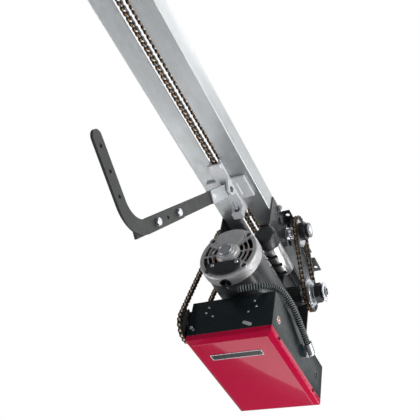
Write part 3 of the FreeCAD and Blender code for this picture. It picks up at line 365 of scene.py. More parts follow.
def join_rings(bm, a, b, mat=0):
    """Faces between two closed rings; either ring may be one single point."""
    n = max(len(a), len(b))
    for k in range(n):
        j = (k + 1) % n
        if len(a) == 1:
            quad = (a[0], b[j], b[k])
        elif len(b) == 1:
            quad = (a[k], a[j], b[0])
        else:
            quad = (a[k], a[j], b[j], b[k])
        bm.faces.new(quad).material_index = mat


def skin(bm, rings, mat=0):
    for a, b in zip(rings, rings[1:]):
        join_rings(bm, a, b, mat)


def circle(r, n, phase=0):
    """Points round a circle; a radius of nothing gives one point."""
    if r < 1e-6:
        return [(0, 0)]
    return [(r * cos(phase + TAU * k / n), r * sin(phase + TAU * k / n)) for k in range(n)]


def ring_of(bm, at, points, w):
    return [bm.verts.new(at(u, v, w)) for u, v in points]


def lathe(bm, at, profile, n=40, mat=0, closed=False):
    """Turned body from (radius, height) pairs; closed joins the last pair to the first."""
    rings = [ring_of(bm, at, circle(r, n), h) for r, h in profile]
    skin(bm, rings + (rings[:1] if closed else []), mat)


def rod(bm, at, r, w0, w1, n, mat=0):
    lathe(bm, at, [(0, w0), (r, w0), (r, w1), (0, w1)], n, mat)


def prism(bm, at, outline, w0, w1):
    low, high = ring_of(bm, at, outline, w0), ring_of(bm, at, outline, w1)
    join_rings(bm, low, high)
    bm.faces.new(low[::-1])
    bm.faces.new(high)


def block(bm, x0, x1, y0, y1, z0, z1):
    y0, y1 = sorted((y0, y1))
    prism(bm, along_z(0, 0), [(x0, y0), (x1, y0), (x1, y1), (x0, y1)], z0, z1)


def arc(cx, cy, r, a0, a1, n):
    """Points on an arc, angles in degrees."""
    return [(cx + r * cos(radians(a0 + (a1 - a0) * k / n)),
             cy + r * sin(radians(a0 + (a1 - a0) * k / n))) for k in range(n + 1)]


def stadium(length, r, n=8):
    """Outline of a slot or tag, rounded at both ends."""
    half = length / 2 - r
    return arc(half, 0, r, -90, 90, n) + arc(-half, 0, r, 90, 270, n)


def hex_head(bm, at, across, w0, w1, mat=0, dome=0.0):
    """Hexagon with its corners chamfered on the w1 side."""
    side = 1 if w1 > w0 else -1
    rings = [[], [], []]
    for c, s in circle(1, 24):
        r = across / 2 / cos(radians(degrees(atan2(s, c)) % 60 - 30))
        drop = (r - across / 2) * 0.75 + 0.3
        for ring, radius, w in zip(rings, (r, r, across * 0.46), (w0, w1 - side * drop, w1)):
            ring.append(bm.verts.new(at(radius * c, radius * s, w)))
    skin(bm, rings + [ring_of(bm, at, [(0, 0)], w1 + side * dome)], mat)
    bm.faces.new(rings[0]).material_index = mat


def soften(obj, width, segments=2, angle=35):
    """Rounded edges and even shading."""
    weld = obj.modifiers.new("weld", "WELD")
    weld.merge_threshold = 0.00001
    bevel = obj.modifiers.new("bevel", "BEVEL")
    bevel.width = width * MM
    bevel.segments = segments
    bevel.limit_method = "ANGLE"
    bevel.angle_limit = radians(angle)
    bevel.use_clamp_overlap = True
    normal = obj.modifiers.new("normal", "WEIGHTED_NORMAL")
    normal.keep_sharp = False
    normal.weight = 80


def mesh_of(bm, name, mats):
    bmesh.ops.recalc_face_normals(bm, faces=bm.faces)
    me = bpy.data.meshes.new(name)
    bm.to_mesh(me)
    bm.free()
    me.transform(Matrix.Scale(MM, 4))
    for m in mats:
        me.materials.append(M[m])
    return me


def piece(name, bm, body, mats, node="", bevel=0, smooth=32, segments=2):
    """Turns a mesh drawn in mm into a piece that rides on a body, in place of a CAD node if one is named."""
    me = mesh_of(bm, name, mats)
    me.shade_smooth()
    if not bevel:
        me.set_sharp_from_angle(angle=radians(smooth))
    obj = add(name, me)
    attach(obj, body)
    if node:
        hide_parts(node)
    if bevel:
        soften(obj, bevel, segments)
    return obj


def settle(obj):
    """Applies the modifiers of an object to its mesh."""
    graph = bpy.context.evaluated_depsgraph_get()
    me = bpy.data.meshes.new_from_object(obj.evaluated_get(graph))
    old = obj.data
    obj.modifiers.clear()
    obj.data = me
    bpy.data.meshes.remove(old)


def smooth_over(obj, edge=0, sharp=40):
    """Even shading after a cut, with rounded edges or with sharp ones."""
    obj.data.shade_smooth()
    if edge:
        soften(obj, edge, 2, 50)
    else:
        obj.data.set_sharp_from_angle(angle=radians(sharp))


def thicken(obj, wall_mm, offset=-1, even_walls=True):
    wall = obj.modifiers.new("wall", "SOLIDIFY")
    wall.thickness = wall_mm * MM
    wall.offset = offset
    wall.use_even_offset = even_walls
    settle(obj)


def carve(obj, tools):
    """Cuts the solids of a tool mesh out of an object."""
    cutter = add("tool", mesh_of(tools, "tool", []))
    mod = obj.modifiers.new("cut", "BOOLEAN")
    mod.operation = "DIFFERENCE"
    mod.solver = "EXACT"
    mod.use_self = True
    mod.object = cutter
    settle(obj)
    bpy.data.objects.remove(cutter)


def spline_points(points):
    """Points along the NURBS spline that has these control points (mm), as Blender gives them, in metres."""
    curve = bpy.data.curves.new("route", "CURVE")
    curve.dimensions = "3D"
    curve.resolution_u = 24
    spline = curve.splines.new("NURBS")
    spline.points.add(len(points) - 1)
    for p, q in zip(spline.points, points):
        p.co = (q[0] * MM, q[1] * MM, q[2] * MM, 1)
    spline.order_u = 3
    spline.use_endpoint_u = True
    obj = add("route", curve)
    me = bpy.data.meshes.new_from_object(obj)
    line = [v.co.copy() for v in me.vertices]
    bpy.data.objects.remove(obj)
    bpy.data.meshes.remove(me)
    bpy.data.curves.remove(curve)
    return line


def even(line, step):
    """The same line walked in even steps."""
    out = [line[0].copy()]
    left = step
    for a, b in zip(line, line[1:]):
        span = (b - a).length
        done = 0
        while span - done >= left and span > 0:
            done += left
            out.append(a.lerp(b, done / span))
            left = step
        left -= span - done
    return out


def sweep(bm, line, radius_at, n, mat):
    """Tube along a line (metres, drawn into a mm mesh), with a radius at each of its points."""
    normal = None
    rings = []
    for k, p in enumerate(line):
        t = (line[min(k + 1, len(line) - 1)] - line[max(k - 1, 0)]).normalized()
        if normal is None:
            normal = t.orthogonal().normalized()
        normal = (normal - t * normal.dot(t)).normalized()
        side = t.cross(normal)
        rings.append([bm.verts.new(p * 1000 + normal * u + side * v) for u, v in circle(radius_at(k), n)])
    for k, (a, b) in enumerate(zip(rings, rings[1:])):
        join_rings(bm, a, b, mat(k) if callable(mat) else mat)
    mat = 0 if callable(mat) else mat
    bm.faces.new(rings[0][::-1]).material_index = mat
    bm.faces.new(rings[-1]).material_index = mat


# ---- conduit between motor and box
CONDUIT = [(222.0, -6.0, -280.0), (222.0, -6.0, -328.0), (208.0, 72.0, -312.0),
           (160.0, 103.0, -286.0), (95.0, 119.0, -302.0), (-6.14, 119.44, -345.47)]
RIB_PITCH = 6.05
WALK = 0.55                     # step of the walk along the route
LEAD_STEPS = 112                # steps with bare leads, before the sleeve starts
LEAD_RADIUS = 3.3


def rib_wave(steps):
    return cos(TAU * steps * WALK / RIB_PITCH)


def sleeve_radius(steps):
    """A plain collar at the start, then the ribs."""
    return 7.9 if steps * WALK < 3 else 6.6 + 1.35 * rib_wave(steps)


def conduit_piece():
    """One mesh for the whole cord: two glossy leads out of the motor, then the ribbed sleeve over them."""
    line = spline_points(CONDUIT)
    walk = even(line, WALK * MM)
    bm = bmesh.new()
    for side in (1, -1):
        shifted = []
        for k, p in enumerate(walk[:LEAD_STEPS + 20]):
            ahead = (walk[k + 1] - walk[max(k - 1, 0)]).normalized()
            across = ahead.cross(Vector((1, 0, 0))).normalized()
            twist = 0.6 + 0.02 * k
            off = across * cos(twist) + ahead.cross(across) * sin(twist)
            shifted.append(p + off * 0.0036 * side)
        sweep(bm, shifted, lambda k: LEAD_RADIUS, 14, 1)
    # faces on the rib crests take the lighter material: painted highlight on each rib
    sweep(bm, walk[LEAD_STEPS:], sleeve_radius, 20, lambda k: 2 if rib_wave(k + 0.5) > 0.35 else 0)
    obj = piece("conduit_sleeve", bm, "frame", ["conduit_black", "lead_black", "conduit_crest"],
                "conduit")


conduit_piece()


# ---- chains and sprockets
def pitch_radius(teeth):
    return PITCH / 2 / sin(pi / teeth)


def layout(a, na, b, nb):
    """Tangent angles, straight length in pitches, and the gullet phase of the second sprocket."""
    ra, rb = pitch_radius(na), pitch_radius(nb)
    dx, dz = b[0] - a[0], b[1] - a[1]
    dist = hypot(dx, dz)
    base = atan2(dz, dx)
    off = acos((ra - rb) / dist)
    straight = sqrt(dist ** 2 - (ra - rb) ** 2) / PITCH
    lead = ceil(straight) - straight
    return base + off, base - off, straight, base - off + lead * TAU / nb


def chain_point(s, a, na, b, nb):
    """Place of a roller at s pitches from the tangent where the first straight leaves sprocket A."""
    ra, rb = pitch_radius(na), pitch_radius(nb)
    a1, a2, straight, _ = layout(a, na, b, nb)
    turn_b = nb * (a1 - a2) / TAU

    def on_a(ang):
        return Vector((a[0] + ra * cos(ang), a[1] + ra * sin(ang)))

    def on_b(ang):
        return Vector((b[0] + rb * cos(ang), b[1] + rb * sin(ang)))

    if s <= straight:
        return on_a(a2).lerp(on_b(a2), s / straight)
    s -= straight
    if s <= turn_b:
        return on_b(a2 + s * TAU / nb)
    s -= turn_b
    if s <= straight:
        return on_b(a1).lerp(on_a(a1), s / straight)
    return on_a(a1 + (s - straight) * TAU / na)


def link_plate(bm, p, q, y0, y1, half):
    """Figure-of-eight side plate between two pins."""
    ux, uz = (q[0] - p[0]) / PITCH, (q[1] - p[1]) / PITCH
    length = hypot(q[0] - p[0], q[1] - p[1])
    outline = arc(0, 0, half, 55, 305, 8) + [(length / 2, -half * 0.66)]
    outline += arc(length, 0, half, -125, 125, 8) + [(length / 2, half * 0.66)]
    prism(bm, lambda u, v, w: (p[0] + ux * u - uz * v, w, p[1] + uz * u + ux * v), outline, y0, y1)


def make_chain(name, node, a, na, b, nb, y, count, roller):
    """Rollers, inner and outer plates and pin ends, one pitch at a time round both sprockets."""
    bm = bmesh.new()
    pins = [chain_point(k, a, na, b, nb) for k in range(count)]
    for k, p in enumerate(pins):
        q = pins[(k + 1) % count]
        at = along_y(p[0], p[1])
        lathe(bm, at, [(3.85, y - 2.5), (3.85, y + 2.5)], 14, 1)
        w0, w1, half = (2.55, 3.95, 5.1) if k % 2 else (4.05, 5.45, 4.9)
        for s in (1, -1):
            link_plate(bm, p, q, y + s * w0, y + s * w1, half)
            lathe(bm, at, [(2, y + s * 3.9), (2, y + s * 6.1), (1.3, y + s * 6.3), (0, y + s * 6.3)], 8, 2)
    piece(name, bm, "frame", ["chain_plate", roller, "dark_steel"], node)


def tooth_ring(bm, teeth, x, z, y, phase, half, bore):
    """Toothed plate whose gullets fit the rollers, with chamfered tips."""
    r = pitch_radius(teeth)
    step = TAU / teeth
    at = along_y(x, z)
    outline = []
    for k in range(teeth):
        th = phase + k * step
        cx, cz = r * cos(th), r * sin(th)
        for d in range(-64, 65, 16):
            a = th + pi - radians(d)
            outline.append((cx + 4.05 * cos(a), cz + 4.05 * sin(a), False))
        for f, rise in ((0.36, 0.8), (0.44, 2.7), (0.56, 2.7), (0.64, 0.8)):
            outline.append(((r + rise) * cos(th + f * step), (r + rise) * sin(th + f * step), rise > 2))
    rings = []
    for w, cut in ((-half, 2.2), (-half * 0.45, 0), (half * 0.45, 0), (half, 2.2)):
        trims = [1 - cut / hypot(u, v) if tip else 1 for u, v, tip in outline]
        rings.append(ring_of(bm, at, [(u * f, v * f) for (u, v, _), f in zip(outline, trims)], y + w))
    skin(bm, rings)
    for ring, w in ((rings[0], -half), (rings[-1], half)):
        join_rings(bm, ring, ring_of(bm, at, circle(bore, len(ring), phase), y + w))


TROLLEY = (SHAFT, 9, IDLER, 9)
REDUCTION = (SHAFT, 19, OUT, 21)
LIMIT = (SHAFT, 21, LIM, 19)
make_chain("trolley_chain_links", "trolley_chain", *TROLLEY, 0, 140, "chain_roller")
make_chain("reduction_chain_links", "reduction_chain", *REDUCTION, Y_RED, 46, "chain_roller")
make_chain("limit_chain_links", "limit_chain", *LIMIT, Y_LIM, 74, "pale_roller")


# ---- motor end bell
def make_end_bell():
    """Cast bell: face with arched vents cut through between the spokes, rim turned back over the shell."""
    at = along_x(*MOTOR)
    radii = [20.5, 26, 31, 40.2, 42.6, 51.9, 54.3, 64.4, 71]
    vents = ((31, 40.2), (42.6, 51.9), (54.3, 64.4))
    half_spoke = 2.6
    n = 180

    def open_here(r0, r1, deg):
        """True inside a vent: two groups, each split by one spoke."""
        if (r0, r1) not in vents:
            return False
        d = (deg + 180) % 360 - 180
        right = -36 < d < 37 and abs(d) > half_spoke
        left = (d > 148 or d < -132) and abs(abs(d) - 180) > half_spoke
        return right or left

    bm = bmesh.new()
    grid = [ring_of(bm, at, circle(r, n), 236.5) for r in radii]
    for i in range(len(radii) - 1):
        for k in range(n):
            if not open_here(radii[i], radii[i + 1], k * 2 + 1):
                j = (k + 1) % n
                bm.faces.new((grid[i][k], grid[i][j], grid[i + 1][j], grid[i + 1][k]))
    last = grid[-1]
    for r, h in ((72.8, 236.1), (74, 234.6), (74.7, 232), (74.8, 220), (74.8, 210.2)):
        ring = ring_of(bm, at, circle(r, n), h)
        join_rings(bm, last, ring)
        last = ring
    shell = piece("end_bell_casting", bm, "frame", ["cast_aluminium"], "motor_end_bell")
    thicken(shell, 4.2, 0, False)
    shell.data.shade_smooth()
    tools = bmesh.new()
    for spot in BELL_BOLTS:
        rod(tools, along_x(*spot), 6.2, 230, 250, 20)
    rod(tools, along_z(*LEAD_HOLE), 11.6, -320, -285, 28)
    carve(shell, tools)
    soften(shell, 0.7, 2, 50)

    detail = bmesh.new()
    pad = arc(0, 0, 73.8, 61, 122, 22)
    pad += [(-36, 41), (-28, 30)] + arc(0, 0, 24.5, 132, 48, 12) + [(28, 32), (35, 43)]
    prism(detail, at, pad, 236, 240.6)
    lathe(detail, at, [(31, 236), (30.5, 239.5), (28, 241), (26, 243), (25, 246), (22.5, 247.2),
                       (21, 247.4), (20.2, 250.5), (17.8, 251.2), (17.2, 251.4)], 56)
    for spot in BELL_BOLTS[:3]:         # the terminal cover hides the fourth
        lathe(detail, along_x(*spot), [(10.2, 236), (9.6, 240), (8.8, 240.7), (7, 240.7), (6.4, 240),
                                       (6.2, 234)], 28)
    piece("end_bell_boss", detail, "frame", ["cast_aluminium"], bevel=0.7)

    cap = bmesh.new()
    lathe(cap, at, [(17.4, 251), (17.4, 255.8), (16.6, 256.8), (14.6, 257), (14.2, 256.3), (0, 256.5)], 48)
    piece("motor_cap", cap, "frame", ["zinc_steel"])

    inner = bmesh.new()
    # near-black disc behind the vents of the end bell: painted shade inside the motor
    lathe(inner, at, [(0, 210), (70, 210)], 48, 0)
    coil = [(0, 226), (3.4, 225), (3.9, 221), (3.9, 210)]
    for u, v in circle(44, 36):
        lathe(inner, along_x(MOTOR[0] + u, MOTOR[1] + v), coil, 8, 1)
    piece("motor_windings", inner, "frame", ["dark_gap", "copper"])


make_end_bell()


# ---- sprockets and shafts
def hull(points):
    """Convex outline round 2-D points."""
    pts = sorted(set((round(x, 4), round(y, 4)) for x, y in points))

    def half(seq):
        out = []
        for p in seq:
            while len(out) > 1 and ((out[-1][0] - out[-2][0]) * (p[1] - out[-2][1])
                                    - (out[-1][1] - out[-2][1]) * (p[0] - out[-2][0])) <= 0.0002:
                out.pop()
            out.append(p)
        return out[:-1]

    return half(pts) + half(pts[::-1])


def gear(name, node, body, look, teeth, centre, y, phase, bore, hub=(), hub_look="dark_steel"):
    bm = bmesh.new()
    tooth_ring(bm, teeth, *centre, y, phase, 2.3, bore)
    for profile in hub:
        lathe(bm, along_y(*centre), profile, 40, 1, True)
    piece(name, bm, body, [look, hub_look], node, smooth=30)


def make_gears():
    _, near_t, _, far_t = layout(*TROLLEY)
    _, near_r, _, far_r = layout(*REDUCTION)
    _, near_l, _, far_l = layout(*LIMIT)
    gear("drive_gear", "drive_sprocket", "drive", "zinc_steel", 9, SHAFT, 0, near_t, 11,
         [[(11.1, 2.4), (12.6, 2.4), (12.9, 7.4), (15, 8), (15, 23.2), (14.2, 24), (11.1, 24)]])
    gear("idler_gear", "idler_sprocket", "idler", "zinc_steel", 9, IDLER, 0, far_t, 5.05,
         [[(r, s * h) for r, h in ((5.1, 2.4), (10.4, 2.4), (11, 3), (11, 9), (10.4, 9.5), (5.1, 9.5))]
          for s in (1, -1)], "zinc_steel")
    gear("driven_gear", "driven_sprocket", "drive", "zinc_steel", 19, SHAFT, Y_RED, near_r, 11,
         [[(11.1, 107.4), (22, 107.4), (24, 109), (24, 121.5), (22.8, 123.4), (19, 124), (18.6, 129.6),
           (11.1, 129.6)]], "black_steel")
    gear("limit_gear_top", "limit_drive_sprocket", "drive", "dark_steel", 21, SHAFT, Y_LIM, near_l, 11,
         [[(11.1, -115.6), (17, -115.6), (18, -114.6), (18, -104), (17, -103), (11.1, -103)]])
    gear("clutch_gear", "clutch_sprocket", "clutch_ring", "zinc_steel", 21, OUT, Y_RED, far_r, 10.1)
    gear("limit_gear_low", "limit_shaft_sprocket", "limit", "dark_steel", 19, LIM, Y_LIM, far_l, 5,
         [[(5.1, -115.6), (13.2, -115.6), (14, -114.8), (14, -111), (13.2, -110.5), (5.1, -110.5)],
          [(5.1, -120.4), (9, -120.4), (9, -122.6), (8, -123.4), (5.1, -123.4)]])

    bm = bmesh.new()
    at = along_y(*SHAFT)
    lathe(bm, at, [(0, 129.8), (19.4, 129.8), (20, 130.4), (20, 132.9), (19.2, 133.5), (13.4, 133.5),
                   (12.6, 132.7), (12.2, 132.7)], 48)
    lathe(bm, at, [(12.2, 132.7), (11.8, 134.6), (10.8, 135.2), (0, 135.4)], 48, 1)
    piece("shaft_end_disc", bm, "drive", ["dull_zinc", "bright_zinc"], "shaft_end_washer",
          smooth=28)


def make_bearings():
    """Two-bolt flange bearings, leaning the same way on both sides of the head."""
    at = along_y(*SHAFT)
    tilt = radians(22)
    bolt_off = 27
    outline = []
    for t, r in ((-bolt_off, 8.5), (0, 22), (bolt_off, 8.5)):
        outline += [(t * sin(tilt) + u, t * cos(tilt) + v) for u, v in circle(r, 32)]
    dome = [(21, 73.4), (20.4, 74.4), (18, 77.2), (17, 79), (16.4, 84.6), (15.6, 85.6), (14.4, 85.8),
            (11.2, 85.8)]
    for side, name in ((1, "right"), (-1, "left")):
        bm = bmesh.new()
        prism(bm, at, hull(outline), side * 70, side * 73.6)
        lathe(bm, at, [(r, side * w) for r, w in dome], 48)
        piece("flange_bearing_" + name, bm, "frame", ["bright_zinc"],
              "shaft_bearings" if side > 0 else "", bevel=0.5)
        bm = bmesh.new()
        for t in (bolt_off, -bolt_off):
            spot = along_y(SHAFT[0] + t * sin(tilt), SHAFT[1] + t * cos(tilt))
            rod(bm, spot, 8.2, side * 73.6, side * 75, 28)
            hex_head(bm, spot, 13, side * 75, side * 80.4)
            hex_head(bm, spot, 13, side * 67, side * 60.6)
            lathe(bm, spot, [(4, side * 61), (4, side * 56.6), (3.4, side * 56), (0, side * 56)], 16)
        piece("bearing_bolt_heads_" + name, bm, "frame", ["black_steel"],
              "bearing_bolts" if side > 0 else "")


make_gears()
make_bearings()


def make_clutch():
    at = along_y(*OUT)
    bm = bmesh.new()
    for r, w0, w1 in ((32, 95, 98.2), (29.6, 98.4, 102.4), (29.6, 107.6, 111.2), (32, 111.4, 113.8)):
        lathe(bm, at, [(10.1, w0), (r - 0.6, w0), (r, w0 + 0.6), (r, w1 - 0.6), (r - 0.6, w1), (10.1, w1)],
              56, 0, True)
    for inner, outer in ((117, 114.6), (118.4, 121.4)):
        lathe(bm, at, [(10.2, inner), (25, outer), (25.4, outer + 0.8), (10.2, inner + 0.9)], 48, 0, True)
    piece("clutch_plates", bm, "output", ["zinc_steel"], "clutch_discs", smooth=28)

    bm = bmesh.new()
    hex_head(bm, at, 46, 122.2, 138)
    lathe(bm, at, [(0, 137), (20, 137), (20, 143.2), (19, 144), (0, 144)], 40)
    piece("clutch_castle_nut", bm, "output", ["black_steel"], "clutch_nut", bevel=0.6)

    bm = bmesh.new()
    outline = arc(0, 0, 25, -172, 172, 60) + [(-20.5, 3.4)] + arc(0, 0, 14, 165, -165, 40) + [(-20.5, -3.4)]
    prism(bm, at, outline, 144.2, 147.2)
    piece("clutch_lock_disc", bm, "output", ["bright_zinc"], "lock_disc", bevel=0.35)
    bm = bmesh.new()
    lathe(bm, at, [(0, 144.1), (13.4, 144.1), (13.4, 146.2), (12.4, 146.8), (10.2, 146.8), (10, 146)], 40, 0)
    lathe(bm, at, [(10, 146), (10, 149.2), (9.2, 150), (3, 150), (2.2, 148.6), (0, 148)], 40, 1)
    piece("output_shaft_end", bm, "output", ["black_steel", "zinc_steel"], smooth=28)


make_clutch()


# ---- sheet metal of the head, box and rails
def make_head_frame():
    """One folded sheet: ears, side plates and pan, drawn at mid thickness and then thickened."""
    half = [(91, -1.5), (72.5, -1.5)] + arc(72.5, -5.5, 4, 90, 180, 5)[1:] + [(68.5, -96.5)]
    half += arc(64.5, -96.5, 4, 0, -90, 5)[1:] + [(43, -100.5)]
    profile = half + [(-y, z) for y, z in reversed(half)]
    n = len(profile)
    ear_faces = 6
    ear_x = 128
    pan_end = 62
    xs = [-130, -ear_x, pan_end, ear_x, 190]
    bm = bmesh.new()
    verts = {}

    def at(i, k):
        if (i, k) not in verts:
            y, z = profile[k]
            verts[i, k] = bm.verts.new((xs[i], y, z))
        return verts[i, k]

    for i in range(len(xs) - 1):
        for k in range(n - 1):
            ear = k < ear_faces or k >= n - 1 - ear_faces
            outside_ear = xs[i] < -ear_x or xs[i + 1] > ear_x
            open_below = k == n // 2 - 1 and xs[i] >= pan_end
            if not open_below and not (ear and outside_ear):
                bm.faces.new((at(i, k), at(i + 1, k), at(i + 1, k + 1), at(i, k + 1)))
    sheet = piece("folded_head", bm, "frame", ["black_frame"], "head_frame")
    thicken(sheet, HEAD_WALL, 0)
    tools = bmesh.new()
    for side in (1, -1):
        for x, z, r in ((*SHAFT, 13), (157, -22, 6), (-40, -50, 9), (-95, -30, 6)):
            rod(tools, along_y(x, z), r, side * 60, side * 78, 32)
        for x in (125, 166):
            prism(tools, along_y(x, -73.5), [(v, u) for u, v in stadium(9, 2, 6)], side * 60, side * 78)
        for x in (-112, 112):
            rod(tools, along_z(x, side * 80.5), 5.5, -9, 6, 28)
        for x in (-60, 60):
            block(tools, x - 12, x + 12, side * 82, side * 99, -9, 6)
    carve(sheet, tools)
    smooth_over(sheet, 0.5)
    bm = bmesh.new()
    block(bm, -130, -127, -66, 66, -98.6, -45)
    piece("head_rear_plate", bm, "frame", ["black_frame"], bevel=0.6)


def make_rails():
    for side, node in ((1, "rail_right"), (-1, "rail_left")):
        heel = RAIL_OUTER - RAIL_LEG
        inner = RAIL_OUTER - 3.2
        outline = [(heel, -52)] + arc(RAIL_OUTER - 3.4, -48.6, 3.4, -90, 0, 6)
        outline += [(RAIL_OUTER, -1.2), (inner, -1.2)]
        outline += arc(inner - 1.6, -47.2, 1.6, 0, -90, 4) + [(heel, -48.8)]
        bm = bmesh.new()
        prism(bm, lambda u, v, w: (w, side * u, v), outline, 110, 960)
        rail = piece("track_angle_" + ("right" if side > 0 else "left"), bm, "frame", ["galvanised_steel"],
                     node)
        tools = bmesh.new()
        for x, z, r in ((130, -38, 5.3), (150, -9, 4.3), (935, -38, 5.3), (935, -9, 4.3)):
            rod(tools, along_y(x, z), r, side * 58, side * 72, 24)
        carve(rail, tools)
        smooth_over(rail, 0.35)


def rounded_shell(levels, edge):
    """Open-topped tray from (z, inset) levels of the box outline, its edges rounded."""
    bm = bmesh.new()
    rings = []
    for z, inset in levels:
        x0, x1, y = BOX_X[0] + inset, BOX_X[1] - inset, BOX_Y - inset
        rings.append(ring_of(bm, along_z(0, 0), ((x0, -y), (x1, -y), (x1, y), (x0, y)), z))
    skin(bm, rings)
    bm.faces.new(rings[-1])
    bmesh.ops.recalc_face_normals(bm, faces=bm.faces)
    edges = [e for e in bm.edges if len(e.link_faces) == 2]
    bmesh.ops.bevel(bm, geom=edges, offset=edge, segments=3, profile=0.5, affect="EDGES", clamp_overlap=True)
    return bm


def make_cover():
    bm = rounded_shell([(-410.3, 0), (-423.5, 0), (COVER_Z, 13)], 1.3)
    cover = piece("red_tray", bm, "lid", ["red_cover"], "cover")
    thicken(cover, BOX_WALL)
    tools = bmesh.new()
    slot = [(2.7, 9)] + arc(0, 0, 2.7, 0, -180, 10) + [(-2.7, 9)]
    for x, side in COVER_SCREWS:
        prism(tools, along_y(x, COVER_SCREW_Z), slot, side * 100, side * 112)
    carve(cover, tools)
    smooth_over(cover)

    bm = bmesh.new()
    block(bm, *PLATE, COVER_Z - 0.45, COVER_Z)
    x0, x1, y0, y1 = PLATE
    rings = []
    for rim, drop in ((0, 0.2), (0, 0.9), (1.6, 0.9), (1.6, 0.5)):
        corners = [(x0 + rim, y0 + rim), (x1 - rim, y0 + rim), (x1 - rim, y1 - rim), (x0 + rim, y1 - rim)]
        rings.append(ring_of(bm, along_z(0, 0), corners, COVER_Z - drop))
    skin(bm, rings, 1)
    piece("blank_plate", bm, "lid", ["plate", "zinc_steel"], "nameplate", smooth=20)

    bm = bmesh.new()
    head = [(2.2, 98), (2.2, 107.2), (4.4, 107.3), (4.4, 108.4), (3.4, 109.6), (1.2, 109.9), (0.9, 109),
            (0, 109)]
    for x, side in COVER_SCREWS:
        lathe(bm, along_y(x, COVER_SCREW_Z), [(r, side * w) for r, w in head], 24)
    piece("cover_screw_heads", bm, "frame", ["black_steel"], "cover_screws")


def make_box():
    bm = rounded_shell([(BOX_Z[0], 0), (BOX_Z[1], 0)], 1.6)
    box = piece("box_body", bm, "frame", ["box_paint"], "electrical_box")
    thicken(box, BOX_WALL)
    tools = bmesh.new()
    rod(tools, along_y(*KNOCKOUT_FRONT), 9.5, 100, 112, 32)
    rod(tools, along_y(*KNOCKOUT_REAR), 10.4, 100, 112, 32)
    rod(tools, along_y(*LIM), 8, -112, -100, 28)
    carve(box, tools)
    smooth_over(box)

    bm = bmesh.new()
    for x, side in COVER_SCREWS:
        block(bm, x - 12, x + 12, side * 103.9, side * 105.4, BOX_Z[0] - 12, BOX_Z[0] + 14)
    piece("cover_tabs", bm, "frame", ["box_paint"], bevel=0.4)

    bm = bmesh.new()
    head = [(0, 184.8), (3, 184.8), (3.1, 185.4), (2.5, 186.5), (1.2, 186.9), (0, 186.95)]
    for y, z in ((-60, -337), (-65, -352), (-46, -364), (57, -337), (63, -353), (45, -365)):
        lathe(bm, along_x(y, z), head, 20)
    lathe(bm, along_x(-98, -388), [(0, 184.8), (4.6, 184.8), (4.6, 186.2), (3.6, 187.2), (1.4, 187.4),
                                   (1.1, 186.4), (0, 186.4)], 24)
    lathe(bm, along_x(-91, -395), [(1.6, 184.8), (3.2, 184.8), (3.2, 185.8), (1.6, 185.8)], 20, 0, True)
    piece("box_front_screws", bm, "frame", ["bright_zinc"], smooth=40)

    bm = bmesh.new()
    slant = radians(-24)
    ca, sa = cos(slant), sin(slant)
    turn = lambda u, v, w: (w, 46 + u * ca - v * sa, -397 + u * sa + v * ca)
    prism(bm, turn, stadium(26, 4.2), 185, 185.7)
    prism(bm, turn, stadium(20, 2.4), 185.7, 185.95)
    piece("oval_tag", bm, "frame", ["tag_grey"], smooth=30)

    bm = bmesh.new()
    plug = along_y(*KNOCKOUT_FRONT)
    lathe(bm, plug, [(9.4, 105.4), (9.4, 107.3), (8.4, 107.8), (7.2, 107.5), (6.8, 105.6)], 36, 0)
    lathe(bm, plug, [(6.8, 105.6), (3.4, 104.2), (0, 104)], 36, 1)
    plug = [(10.3, 105.8), (10.2, 107.3), (8.8, 107.6), (8, 106.4), (0, 106.2)]
    lathe(bm, along_y(*KNOCKOUT_REAR), plug, 36, 2)
    piece("box_knockouts", bm, "frame", ["bright_zinc", "copper", "box_paint"], smooth=40)


make_head_frame()
make_rails()
make_cover()
make_box()


# ---- trolley and arm
def cast_blend(obj, voxel, rounds):
    """Melts overlapping blocks into one casting with fillets."""
    remesh = obj.modifiers.new("cast", "REMESH")
    remesh.mode = "VOXEL"
    remesh.voxel_size = voxel * MM
    smooth = obj.modifiers.new("fillet", "SMOOTH")
    smooth.factor = 0.5
    smooth.iterations = rounds
    settle(obj)
    obj.data.shade_smooth()


